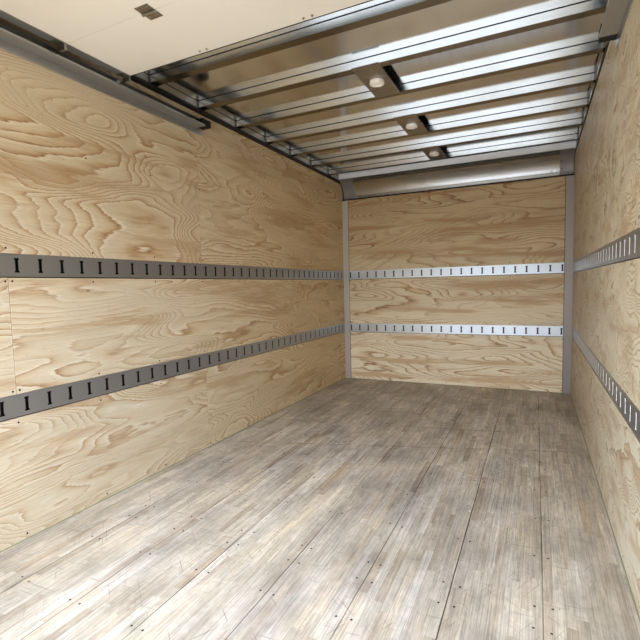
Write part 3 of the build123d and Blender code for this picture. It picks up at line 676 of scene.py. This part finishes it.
# The corner strips are a lit and a shaded copy of one finish: inside the load space the left one is pale, as
# painted light, and the right one darker, as painted shade.
corner_strip_lit_left, corner_strip_shaded_right = [
    metal(name, "C6C6C4", 0.42, (90.0, 90.0, 1.6), 0.08, 0.5, dirt="A19A90", inside=(3 * MM, inside_tone))
    for name, inside_tone in (("corner_strip_lit_left", "C3BBAF"), ("corner_strip_shaded_right", "A19A91"))
]
bottom_aluminium = metal(
    "bottom_rail_aluminium", "BFC1C3", 0.40, (6.0, 6.0, 200.0), 0.05, 0.7, dirt="8C857B", dirt_amount=0.5,
)
dull_tab = metal("dull_bow_tab", "8E8C88", 0.5, (60.0, 60.0, 4.0), 0.05, 0.8)
rail_aluminium = metal(
    "roof_rail_aluminium", "CDCFD0", 0.42, along_body, 0.05, 0.9, dirt="9C9488", inside=(20 * MM, "ACA69C"),
)
satin_aluminium = metal("satin_lip_aluminium", "DCDCD8", 0.4, (6.0, 200.0, 200.0), 0.04, 0.25, dirt="A9A193")
# Slot walls that look along the body: pale painted glints on the right tie rails, black painted shade in the
# slots of the left ones.
glinting_slots, shaded_slots = [
    metal(name, colour, roughness, along_rail, 0.04, 0.75, dirt="968F84", painted_edge_tone=("Y", painted_edge_colour))
    for name, colour, roughness, painted_edge_colour in (
        ("slotted_steel_painted_glint_edges", "9C9EA0", 0.34, "D0D1CF"),
        ("slotted_steel_painted_shade_edges", "A2A3A4", 0.32, "0E0D0C"),
    )
]
track_steel = metal(
    "door_track_steel", "B4B6B8", 0.30, (30.0, 1.5, 30.0), 0.02, 0.8, dirt="8A857C", depth=0.01 * MM,
)
print("materials so far:", len(bpy.data.materials))


# %% Paints, rubber and plastics
def coating(name, colour, roughness, grain, depth, stain, stain_amount, painted_cavity_shade=False):
    """A painted, rubber or plastic skin with a fine texture and faint staining, and where asked a painted
    shade behind the linings.
    """
    material, put, shader, place = finish(name, colour, roughness)
    skin = put("TexNoise", {"Vector": place, "Scale": 1 / (grain * MM), "Detail": 2.0, "Roughness": 0.5})
    cloud = put("TexNoise", {"Vector": place, "Scale": 1.7, "Detail": 4.0, "Roughness": 0.6})
    spots = put("MapRange", [cloud, 0.5, 0.8, 0.0, stain_amount])
    tint = put("MixRGB", [spots, linear(colour), linear(stain)])
    # Painted shade: behind the linings, facing the wall cavity, the skin is near black.
    if painted_cavity_shade:
        tint = put("MixRGB", [load_space(put, place, behind_lining), tint, linear("110E0B")])
    bump = put("Bump", {"Height": skin, "Strength": 0.3, "Distance": depth * MM})
    feed(shader, Base_Color=tint, Normal=bump)
    return material


behind_lining = 14 * MM
# The white sheet takes the painted shade of the wall cavity behind the linings.
for slot, *values in (
    ("white_sheet", "white_painted_sheet", "E6E7E6", 0.28, 30, 0.2, "C9C8C2", 0.4, True),
    ("white_steel", "white_painted_steel", "DEDFDE", 0.34, 8, 0.1, "B9B4A8", 0.5),
    ("black_steel", "black_chassis_paint", "26272A", 0.5, 4, 0.15, "4A443C", 0.6),
    ("door_face", "white_faced_plywood", "DADAD6", 0.4, 20, 0.15, "BDB9AE", 0.5),
    ("black_rubber", "black_rubber", "1B1B1B", 0.75, 2, 0.2, "3A3835", 0.6),
    ("wiring_black", "black_conduit", "121213", 0.45, 3, 0.2, "2A2A2A", 0.4),
    ("lamp_white", "opal_lens", "E9E6DF", 0.35, 3, 0.1, "D8D2C4", 0.4),
    ("lamp_red", "red_lens", "A3120F", 0.15, 3, 0.1, "7F0D0B", 0.4),
    ("lamp_amber", "amber_lens", "D2730C", 0.15, 3, 0.1, "B25D08", 0.4),
):
    finishes[slot] = coating(*values)
print("finishes:", len(finishes))

# %% [markdown]
# Each node of the solid model carries the name of its finish, so the new
# materials are handed out by that name. The three linings differ in the way
# their grain runs, in the log they come from, and in the light and shade
# painted into them.

# %% Hand out the finishes
special = {
    "lining_right": pine_right,
    "lining_front": pine_front,
    "roof_sheet": roof_aluminium,
    "bottom_rail_left": bottom_aluminium,
    "bottom_rail_right": bottom_aluminium,
    "front_sill": bottom_aluminium,
    "top_rail_left": rail_aluminium,
    "top_rail_right": rail_aluminium,
    "roof_bows": bow_aluminium,
    "lamp_plates": plate_aluminium,
    "front_header": header_aluminium,
    "tie_rails_front": new_galvanised,
    "tie_rails_left": shaded_slots,
    "tie_rails_right": glinting_slots,
    "door_track_left": track_steel,
    "door_track_right": track_steel,
    "corner_post_left": corner_strip_lit_left,
    "corner_post_right": corner_strip_shaded_right,
}
for name, node in nodes.items():
    given = node.data.materials[0].name.split(".")[0]
    node.material_slots[0].material = special.get(name, finishes[given])
print("dressed nodes:", len(nodes))

# %% [markdown]
# ## Small pieces
#
# The pieces below are all rigid and all ride on the body. A shape that repeats,
# such as a screw head, is made once along +Z and copied to each place, turned to
# the surface that it sits on. It has few faces, because there are
# hundreds of copies.

# %% Helpers for pieces
sharp_angle = math.radians(35)


def keep(name, shape, material, smooth=True):
    """Turn a bmesh into a finished piece that rides on the body."""
    data = bpy.data.meshes.new(name)
    shape.to_mesh(data)
    shape.free()
    data.materials.append(material)
    data.shade_smooth() if smooth else data.shade_flat()
    data.set_sharp_from_angle(angle=sharp_angle)
    piece = bpy.data.objects.new(name, data)
    scene.collection.objects.link(piece)
    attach(piece, "root")
    print(name, "faces:", len(data.polygons))
    return piece


def block(shape, low, high):
    """Add a box to a bmesh from its lowest and highest corner."""
    low = Vector(low)
    high = Vector(high)
    size = Matrix.Diagonal((*(high - low), 1.0))
    bmesh.ops.create_cube(shape, size=1.0, matrix=Matrix.Translation((low + high) / 2) @ size)


def twin_blocks(shape, inner, outer, low, high):
    """Add a box on each side, from its two distances to the middle and its (y, z) corners."""
    for side in (-1, 1):
        x0, x1 = sorted((side * inner, side * outer))
        block(shape, (x0, *low), (x1, *high))


def rod(shape, start, end, radius, sides=12):
    """Add a round bar to a bmesh between two points."""
    start = Vector(start)
    end = Vector(end)
    turned = Vector((0, 0, 1)).rotation_difference(end - start).to_matrix().to_4x4()
    bmesh.ops.create_cone(
        shape,
        cap_ends=True,
        segments=sides,
        radius1=radius,
        radius2=radius,
        depth=(end - start).length,
        matrix=Matrix.Translation((start + end) / 2) @ turned,
    )


def turned_profile(shape, points, place, axis, steps):
    """Spin a profile of (radius, height) points round an axis through a place."""
    turned = Vector((0, 0, 1)).rotation_difference(Vector(axis)).to_matrix().to_4x4()
    matrix = Matrix.Translation(place) @ turned
    dots = [shape.verts.new(matrix @ Vector((radius, 0, height))) for radius, height in points]
    edges = [shape.edges.new(pair) for pair in zip(dots, dots[1:])]
    bmesh.ops.spin(
        shape,
        geom=dots + edges,
        cent=place,
        axis=axis,
        angle=2 * math.pi,
        steps=steps,
        use_merge=True,
    )
    bmesh.ops.remove_doubles(shape, verts=shape.verts, dist=0.01 * MM)
    bmesh.ops.recalc_face_normals(shape, faces=shape.faces)


def button(radius, height, sides, drive=0.0):
    """A small mesh of a head along +Z: a chamfered disc, with a sunk drive if asked."""
    shape = bmesh.new()
    bmesh.ops.create_circle(shape, cap_ends=True, segments=sides, radius=radius)
    top = shape.faces[:]
    raised = bmesh.ops.extrude_face_region(shape, geom=top)
    bmesh.ops.delete(shape, geom=top, context="FACES_ONLY")
    dots = [part for part in raised["geom"] if isinstance(part, bmesh.types.BMVert)]
    bmesh.ops.translate(shape, verts=dots, vec=(0, 0, height))
    bmesh.ops.scale(shape, verts=dots, vec=(0.72, 0.72, 1))
    if drive:
        top = [part for part in raised["geom"] if isinstance(part, bmesh.types.BMFace)]
        bmesh.ops.inset_region(shape, faces=top, thickness=0.72 * radius - drive)
        dots = list({dot for face in top for dot in face.verts})
        bmesh.ops.translate(shape, verts=dots, vec=(0, 0, -0.8 * height))
    bmesh.ops.recalc_face_normals(shape, faces=shape.faces)
    data = bpy.data.meshes.new("head")
    shape.to_mesh(data)
    shape.free()
    return data


def scatter(head, places, normal):
    """A bmesh with a copy of the head at each place, its top turned to the normal."""
    turned = Vector((0, 0, 1)).rotation_difference(Vector(normal)).to_matrix().to_4x4()
    shape = bmesh.new()
    for place in places:
        before = len(shape.verts)
        shape.from_mesh(head)
        shape.verts.ensure_lookup_table()
        moved = Matrix.Translation(place) @ turned
        bmesh.ops.transform(shape, matrix=moved, verts=shape.verts[before:])
    return shape


def join(shapes):
    """Put several bmeshes together."""
    whole = bmesh.new()
    for shape in shapes:
        data = bpy.data.meshes.new("part")
        shape.to_mesh(data)
        shape.free()
        whole.from_mesh(data)
        bpy.data.meshes.remove(data)
    return whole


print("helpers ready")

# %% [markdown]
# ### Screws in the plywood
#
# The sheets are screwed to the wall posts, which stand 16 inches apart, with a
# screw a little way in from each sheet edge. At a seam there is one
# screw in each sheet. Countersunk heads in pale pine read as small dark dots, so
# each head is a dark disc with a sunk drive, a hair proud of the wood.

# %% Wall screws
screw_head = button(4.6 * MM, 0.5 * MM, 12, drive=1.8 * MM)
rust_black = finish("oiled_screw_steel", "17110C", 0.6, 0.3)[0]
seam_in = 13 * MM
rail_top_low = rail_low_z + rail_height
rail_top_high = rail_high_z + rail_height
wall_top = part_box("lining_right")[1].z
side_rows = [
    (floor_z + 24 * MM, 1),
    (rail_low_z - 25 * MM, 1),
    (rail_top_low + 16 * MM, 0),
    (rail_high_z - 21 * MM, 0),
    (rail_top_high + 23 * MM, 1),
    (floor_z + 1727 * MM, 1),
    (wall_top - 29 * MM, 1),
]
post_count = int((front_y - frame_y) / post_pitch)
chance = random.Random(12)
side_places = []
for height, outer_row in side_rows:
    for number in range(1, post_count + 1):
        seam = number % posts_per_sheet == (0 if outer_row else posts_per_sheet // 2)
        offsets = (-seam_in, seam_in) if seam else (0,)
        for offset in offsets:
            slip = chance.uniform(-4, 4) * MM
            side_places.append((front_y - number * post_pitch + offset + slip, height + slip / 2))
wall_screws = [
    scatter(screw_head, [(side * half_in, y, z) for y, z in side_places], (-side, 0, 0))
    for side in (-1, 1)
]
front_outer = half_in - strip_width - 10 * MM
front_step = 609.6 * MM
front_columns = (-front_outer, -front_step, 0, front_step, front_outer)
front_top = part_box("lining_front")[1].z
front_rows = [height for height, _ in side_rows[:5]] + [floor_z + 1640 * MM, front_top - 30 * MM]
front_places = [
    (x + chance.uniform(-4, 4) * MM, front_y, z + chance.uniform(-3, 3) * MM)
    for x in front_columns
    for z in front_rows
]
wall_screws.append(scatter(screw_head, front_places, (0, -1, 0)))
keep("lining_screws", join(wall_screws), rust_black)

# %% [markdown]
# ### Screws in the floor
#
# The floor boards are screwed to every cross member, one screw each side of each
# board joint. The rows follow the cross members of the solid model.

# %% Floor screws
cross_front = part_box("cross_members")[1].y
cross_pitch = 304.8 * MM
cross_flange = 60 * MM
cross_count = 15
doubled_row = 3334 * MM
cross_y = [cross_front - cross_flange / 2 - number * cross_pitch for number in range(cross_count)]
cross_y.append(front_y - doubled_row)
beside_joint = 26 * MM
floor_places = []
for y in cross_y:
    for joint in range(1, board_count):
        for side in (-1, 1):
            x = floor_low.x + joint * board_width + side * beside_joint + chance.uniform(-5, 5) * MM
            floor_places.append((x, y + chance.uniform(-6, 6) * MM, floor_z))
floor_head = button(4.2 * MM, 0.3 * MM, 12, drive=1.8 * MM)
keep("floor_screws", scatter(floor_head, floor_places, (0, 0, 1)), rust_black)

# %% [markdown]
# ### Sealant
#
# Where a bow or a roof rail meets the thin roof sheet, the builder runs a strip
# of dark adhesive tape. A black strip stands for the tape and for the painted
# shadow at that joint, and shows as a fine black line. A bead of olive-brown
# sealant closes the joint between the floor and the walls.

# %% Tape and beads
tape_and_shadow_black = finish("roof_tape", "16181A", 0.6)[0]
bow_width = 50 * MM
bow_count = 11
bow_rear = [bow_high.y - bow_width - number * post_pitch for number in range(bow_count)]
tape = 3 * MM
header_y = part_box("front_header")[0].y
# Black strips at every bow and along the roof rails: the tape, and a painted shadow line at the joint.
tape_and_shadow_strips = bmesh.new()
for y in bow_rear:
    block(tape_and_shadow_strips, (-half_in, y - 1 * MM, roof_z - tape), (half_in, y, roof_z))
twin_blocks(tape_and_shadow_strips, half_in - 1 * MM, half_in, (frame_y, roof_z - tape), (header_y, roof_z))
keep("joint_tape_and_shadow_lines", tape_and_shadow_strips, tape_and_shadow_black, smooth=False)

olive_bead = finish("floor_sealant", "8C8C6C", 0.6)[0]
beads = bmesh.new()
bead = 4 * MM
for side in (-1, 1):
    rod(beads, (side * half_in, frame_y, floor_z), (side * half_in, front_y, floor_z), bead, 8)
keep("floor_sealant_beads", beads, olive_bead)

# %% [markdown]
# ### Bow clips, loom clips and lamp plate screws
#
# Each bow ends in a pair of narrow upright tabs against the roof rail. The
# black loom hangs in P-clips under each bow, and each lamp plate has a screw
# near each corner.

# %% Clips along the roof
tabs = bmesh.new()
tab = 11 * MM
tab_t = 1.5 * MM
bow_z = bow_low.z
for y in bow_rear:
    for wide, deep in ((tab, tab_t), (tab_t, tab)):
        twin_blocks(tabs, half_in - wide, half_in, (y - deep, bow_z), (y, roof_z - tape))
keep("bow_end_tabs", tabs, dull_tab, smooth=False)

loom_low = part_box("wiring_loom")[0]
loom_r = 14 * MM
loom_x = loom_low.x + loom_r
loom_z = loom_low.z + loom_r
clips = bmesh.new()
for number, y in enumerate(bow_rear):
    middle = y + bow_width / 2
    rod(clips, (loom_x, middle - 9 * MM, loom_z), (loom_x, middle + 9 * MM, loom_z), loom_r + 2 * MM, 16)
    block(
        clips,
        (loom_x - 7 * MM, middle - 8 * MM, loom_z + 6 * MM),
        (loom_x + 14 * MM, middle + 8 * MM, loom_z + 15 * MM),
    )
keep("loom_clips", clips, finishes["wiring_black"])

plate_low, plate_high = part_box("lamp_plates")
plate_z = plate_low.z
plate_x = plate_high.x - 14 * MM
bows_before_lamps = (0, 2, 4)
plate_ends = [(bow_rear[first], bow_rear[first + 1]) for first in bows_before_lamps]
plate_screws = [
    (x, y + shift, plate_z)
    for near, far in plate_ends
    for x in (-plate_x, plate_x)
    for y, shift in ((near, 0.0), (far, 6 * MM))
]
small_head = button(3.6 * MM, 1.4 * MM, 12, drive=1.4 * MM)
keep("lamp_plate_screws", scatter(small_head, plate_screws, (0, 0, -1)), finishes["zinc_steel"])

# %% [markdown]
# ### Trim of the front header
#
# The rolled header ends at its foot in a narrow turned lip, which leans back a
# little and so mirrors the open doorway. Black strips are painted shadow in the
# gaps: under the header over the front plywood, along the top of each side
# lining and beside each front corner strip. A satin lip at the top runs on over
# the corner caps, a black bead follows the curved edge of each cap, and two
# screws hold the right cap.

# %% Header lip, seal and caps
header_low, header_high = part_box("front_header")
foot_y = header_high.y - 6.5 * MM
foot_z = header_low.z
cove_z = foot_z + 10 * MM
cove_deep = foot_y - (header_low.y + 3.5 * MM)
cove_high = bow_low.z - cove_z
cove_r = (cove_deep ** 2 + cove_high ** 2) / (2 * cove_deep)
cove_turn = 2 * math.atan2(cove_deep, cove_high)
hub = Vector((0, foot_y - cove_r, cove_z))


def strip_along_x(shape, outline, x0, x1):
    """Extrude an outline of (y, z) points from x0 to x1."""
    dots = [shape.verts.new((x0, y, z)) for y, z in outline]
    face = shape.faces.new(dots)
    pushed = bmesh.ops.extrude_face_region(shape, geom=[face])
    moved = [part for part in pushed["geom"] if isinstance(part, bmesh.types.BMVert)]
    bmesh.ops.translate(shape, verts=moved, vec=(x1 - x0, 0, 0))
    bmesh.ops.recalc_face_normals(shape, faces=shape.faces)


lip = bmesh.new()
lip_outline = [
    (foot_y + 0.5 * MM, foot_z + 0.5 * MM),
    (foot_y - 0.5 * MM, foot_z + 0.5 * MM),
    (foot_y - 8.5 * MM, foot_z + 38 * MM),
    (foot_y - 6.5 * MM, foot_z + 41 * MM),
    (foot_y - 2.0 * MM, foot_z + 42.5 * MM),
]
strip_along_x(lip, lip_outline, header_low.x, header_high.x)
keep("header_foot_lip", lip, plate_aluminium, smooth=False)

# Painted shadow: a black strip in the gap between the front plywood and each corner strip.
joints = bmesh.new()
joint_half = 2 * MM
for side in (-1, 1):
    middle = side * (half_in - strip_width)
    low = (middle - joint_half, front_y - 0.6 * MM, floor_z)
    block(joints, low, (middle + joint_half, front_y + 1 * MM, front_top))
keep("corner_shadow_gap_strips", joints, finishes["black_rubber"], smooth=False)

# Painted shadow: a black strip in the gap under the header, over the front plywood.
header_gap_shadow = bmesh.new()
header_gap_shadow_outline = [
    (front_y - 2 * MM, front_top - 9 * MM),
    (front_y - 2 * MM, front_top + 5 * MM),
    (front_y + 12 * MM, front_top + 6 * MM),
    (front_y + 12 * MM, front_top - 9 * MM),
]
strip_along_x(header_gap_shadow, header_gap_shadow_outline, -half_in + 1 * MM, half_in - 1 * MM)
keep("header_shadow_gap_strip", header_gap_shadow, finishes["black_rubber"], smooth=False)

# Painted shadow: a black strip in the gap between the top of each side lining and the roof rail.
lining_top_gap_shadows = bmesh.new()
gap_shadow_inner = half_in - 1.5 * MM
gap_shadow_outer = half_in + 12 * MM
twin_blocks(lining_top_gap_shadows, gap_shadow_inner, gap_shadow_outer, (frame_y, wall_top - 1 * MM), (front_y, wall_top + 10 * MM))
keep("lining_top_shadow_gap_strips", lining_top_gap_shadows, finishes["black_rubber"], smooth=False)

upper_lip = bmesh.new()
block(upper_lip, (-half_in, header_low.y - 1 * MM, bow_low.z + 1 * MM), (half_in, header_low.y, roof_z))
keep("header_upper_lip", upper_lip, satin_aluminium, smooth=False)

edge_beads = bmesh.new()
bead_r = 4.5 * MM
for side in (-1, 1):
    start = hub + Vector((side * half_in, cove_r - 14 * MM - bead_r, 0))
    ring = bmesh.ops.create_circle(
        edge_beads, cap_ends=False, segments=10, radius=bead_r, matrix=Matrix.Translation(start),
    )
    rim = list({edge for dot in ring["verts"] for edge in dot.link_edges})
    bmesh.ops.spin(
        edge_beads, geom=ring["verts"] + rim, cent=hub, axis=(1, 0, 0), angle=cove_turn, steps=16,
    )
bmesh.ops.holes_fill(edge_beads, edges=edge_beads.edges, sides=10)
bmesh.ops.recalc_face_normals(edge_beads, faces=edge_beads.faces)
keep("cap_edge_beads", edge_beads, finishes["black_rubber"])

cap_head = button(6 * MM, 2 * MM, 12, drive=2 * MM)
cap_places = [(1047 * MM, 2409 * MM, 2437 * MM), (1050 * MM, 2441 * MM, 2374 * MM)]
cap_screws = []
for x, y, z in cap_places:
    inward = (hub - Vector((0, y, z))).normalized()
    seat = Vector((x, hub.y, hub.z)) - inward * cove_r
    cap_screws.append(scatter(cap_head, [seat], inward))
keep("cap_screws", join(cap_screws), rust_black)

# %% [markdown]
# ### Roof lamps
#
# A roof lamp is a low round housing of white plastic with an opal lens. The lens
# has a smooth rim, a band of fine ribs that spreads the light, and a flat button
# in the middle. A profile is spun into the round, and replaces the plain disc.

# %% Lamp lenses
lamp_low, lamp_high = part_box("dome_lamps")
lamp_r = lamp_high.x
lamp_t = lamp_high.z - lamp_low.z
lens_profile = [
    (0.0, 0.80), (0.30, 0.80), (0.34, 0.90), (0.38, 0.84), (0.42, 0.93), (0.46, 0.87), (0.50, 0.95),
    (0.54, 0.88), (0.58, 0.96), (0.62, 0.88), (0.66, 0.96), (0.70, 0.86), (0.74, 0.94), (0.78, 0.84),
    (0.82, 0.97), (0.88, 1.0), (0.94, 0.96), (0.985, 0.80), (1.0, 0.55), (1.0, 0.0),
]
lamps = bmesh.new()
for near, far in plate_ends:
    middle = Vector((0, (near + far) / 2, lamp_high.z))
    lamp = bmesh.new()
    turned_profile(lamp, [(r * lamp_r, h * lamp_t) for r, h in lens_profile], middle, (0, 0, -1), 48)
    lamps = join([lamps, lamp])
lamp_lenses = keep("lamp_lenses", lamps, finishes["lamp_white"])
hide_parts("dome_lamps")

# %% [markdown]
# ### The roll-up door
#
# The door is hinged plywood sections with steel stiles at their ends, where the
# hinges and roller feet are bolted. The sections run flat under the roof and
# then bend down, so each stile is built in its section's own frame, which is
# read from a merged copy of the door's mesh.

# %% Frames of the door sections
copy = bmesh.new()
copy.from_mesh(nodes["door_sections"].data)
bmesh.ops.remove_doubles(copy, verts=copy.verts, dist=0.05 * MM)
unseen = set(copy.verts)
into_body = Vector((0, 1, -1))
door_frames = []
while unseen:
    group = {unseen.pop()}
    front_line = set(group)
    while front_line:
        near_by = {edge.other_vert(dot) for dot in front_line for edge in dot.link_edges}
        front_line = near_by - group
        group |= near_by
    unseen -= group
    corners = sorted([dot.co.copy() for dot in group if dot.co.x > 0], key=tuple)
    middle = sum(corners, Vector()) / len(corners)
    centre = Vector((0, middle.y, middle.z))
    start = max(corners, key=lambda corner: (corner - middle).length)
    rest = [corner for corner in corners if corner is not start]
    rest.sort(key=lambda corner: (corner - start).length)
    thick = rest[0] - start
    long = rest[1] - start
    normal = thick.normalized()
    if normal.dot(into_body) < 0:
        normal = -normal
    door_frames.append((centre, long.normalized(), normal, long.length, thick.length))
copy.free()
door_frames.sort(key=lambda item: -item[0].y)
door_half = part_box("door_sections")[1].x
print("door sections:", len(door_frames), "of", round(door_frames[0][3], 3))


# %% Stiles, seals and bolts of the door
def plate(shape, frame_of, x0, x1, along0, along1, out0, out1):
    """A box in the frame of a door section, along it and inwards from its inner face."""
    middle, long, normal, _, thick = frame_of
    across = Vector((1, 0, 0))
    centre = (
        middle
        + across * (x0 + x1) / 2
        + long * (along0 + along1) / 2
        + normal * (thick / 2 + (out0 + out1) / 2)
    )
    turned = Matrix((across, long, normal)).transposed().to_4x4()
    size = Matrix.Diagonal((x1 - x0, along1 - along0, out1 - out0, 1.0))
    bmesh.ops.create_cube(shape, size=1.0, matrix=Matrix.Translation(centre) @ turned @ size)


stile_w = 50 * MM
stile_t = 1.2 * MM
stiles = bmesh.new()
bolt_shapes = []
bolt_head = button(5.5 * MM, 3.2 * MM, 12)
hinge_step = door_half / 2
hinge_bolt = 20 * MM
hinge_in = 26 * MM
stile_bolts_in = (16 * MM, 38 * MM)
stile_bolt_x = door_half - 12 * MM
for item in door_frames:
    middle, long, normal, length, thick = item
    half = length / 2
    for side in (-1, 1):
        x0, x1 = sorted((side * door_half, side * (door_half - stile_w)))
        plate(stiles, item, x0, x1, -half, half, 0, stile_t)
    face = middle + normal * (thick / 2 + 3 * MM)
    for end in (-1, 1):
        for x in (-hinge_step, 0, hinge_step):
            for shift in (-hinge_bolt, hinge_bolt):
                place = face + long * end * (half - hinge_in) + Vector((x + shift, 0, 0))
                bolt_shapes.append(scatter(bolt_head, [place], normal))
        for side in (-1, 1):
            for depth in stile_bolts_in:
                place = face + long * end * (half - depth) + Vector((side * stile_bolt_x, 0, 0))
                bolt_shapes.append(scatter(bolt_head, [place - normal * 1.8 * MM], normal))
keep("door_end_stiles", stiles, finishes["galvanised_steel"], smooth=False)
keep("door_bolts", join(bolt_shapes), finishes["zinc_steel"])

seals = bmesh.new()
front_section = door_frames[0]
rear_section = door_frames[-1]
for item, end in ((front_section, 1), (rear_section, -1)):
    middle, long, normal, length, thick = item
    direction = long if (long.y > 0) == (end > 0) else -long
    tip = middle + direction * length / 2
    start = tip + normal * thick * 0.1 - Vector((door_half - 2 * MM, 0, 0))
    rod(seals, start, start + Vector((2 * door_half - 4 * MM, 0, 0)), 7 * MM, 12)
keep("door_edge_seals", seals, finishes["black_rubber"])

# %% [markdown]
# ### Rivets and bolts outside
#
# The outside sheets are riveted to the posts every 16 inches and to the rails
# along their edges. The rivets are low aluminium buttons painted with the sheet.

# %% Rivets
rivet = button(6.5 * MM, 2.2 * MM, 10)
rivet_pitch = 101.6 * MM
skin_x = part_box("side_panels_right")[1].x
skin_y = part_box("front_panels")[1].y
rail_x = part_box("bottom_rail_right")[1].x
rail_lip_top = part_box("bottom_rail_right")[1].z
roof_lip_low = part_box("top_rail_right")[0].z
rivet_shapes = []


def spaced(low, high, pitch):
    """Evenly spaced places between two ends, about one pitch apart."""
    count = max(int((high - low) / pitch), 1)
    return [low + (high - low) * number / count for number in range(count + 1)]


panel_heights = spaced(rail_lip_top + 50 * MM, roof_lip_low - 50 * MM, rivet_pitch)
rail_places = spaced(frame_y + 40 * MM, header_y - 30 * MM, rivet_pitch)
for side in (-1, 1):
    out = (side, 0, 0)
    columns = [front_y - number * post_pitch + shift for number in range(1, post_count + 1)
               for shift in ((-22 * MM, 20 * MM) if number % 3 == 0 else (0,))]
    rivet_shapes.append(scatter(rivet, [(side * skin_x, y, z) for y in columns for z in panel_heights], out))
    for z in (rail_lip_top - 22 * MM, roof_lip_low + 22 * MM):
        rivet_shapes.append(scatter(rivet, [(side * rail_x, y, z) for y in rail_places], out))
front_posts = (-812.8 * MM, -406.4 * MM, -24 * MM, 24 * MM, 406.4 * MM, 812.8 * MM)
front_skin_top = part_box("front_panels")[1].z
sill_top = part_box("front_sill")[1].z
front_heights = spaced(sill_top + 50 * MM, front_skin_top - 60 * MM, rivet_pitch)
rivet_shapes.append(scatter(rivet, [(x, skin_y, z) for x in front_posts for z in front_heights], (0, 1, 0)))
sill_places = [(x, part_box("front_sill")[1].y, sill_top - 22 * MM) for x in spaced(-1.1, 1.1, rivet_pitch)]
rivet_shapes.append(scatter(rivet, sill_places, (0, 1, 0)))
keep("sheet_rivets", join(rivet_shapes), finishes["white_sheet"])

# %% Lamps and latch outside
rims = bmesh.new()
tail_low, tail_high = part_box("tail_lamps")
tail_r = (tail_high.z - tail_low.z) / 2
tail_z = (tail_high.z + tail_low.z) / 2
tail_x = (-930 * MM, -790 * MM, 790 * MM, 930 * MM)
rim_low = 5 * MM
rim_high = 8 * MM
rim_profile = [(1.0, 0.0), (1.13, 0.0), (1.13, rim_low), (1.08, rim_high), (1.0, rim_high)]
for x in tail_x:
    rim = bmesh.new()
    outline = [(share * tail_r, height) for share, height in rim_profile]
    turned_profile(rim, outline, Vector((x, rear_y, tail_z)), (0, -1, 0), 40)
    rims = join([rims, rim])
keep("tail_lamp_rims", rims, finishes["black_rubber"])

fixings = []
bumper_low, bumper_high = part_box("dock_bumpers")
hex_head = button(11 * MM, 4 * MM, 6)
bumper_x = bumper_high.x - 55 * MM
for x in (-bumper_x, bumper_x):
    for z in (bumper_low.z + 40 * MM, bumper_high.z - 40 * MM):
        fixings.append(scatter(hex_head, [(x, bumper_low.y, z)], (0, -1, 0)))
keep("bumper_bolts", join(fixings), finishes["zinc_steel"])
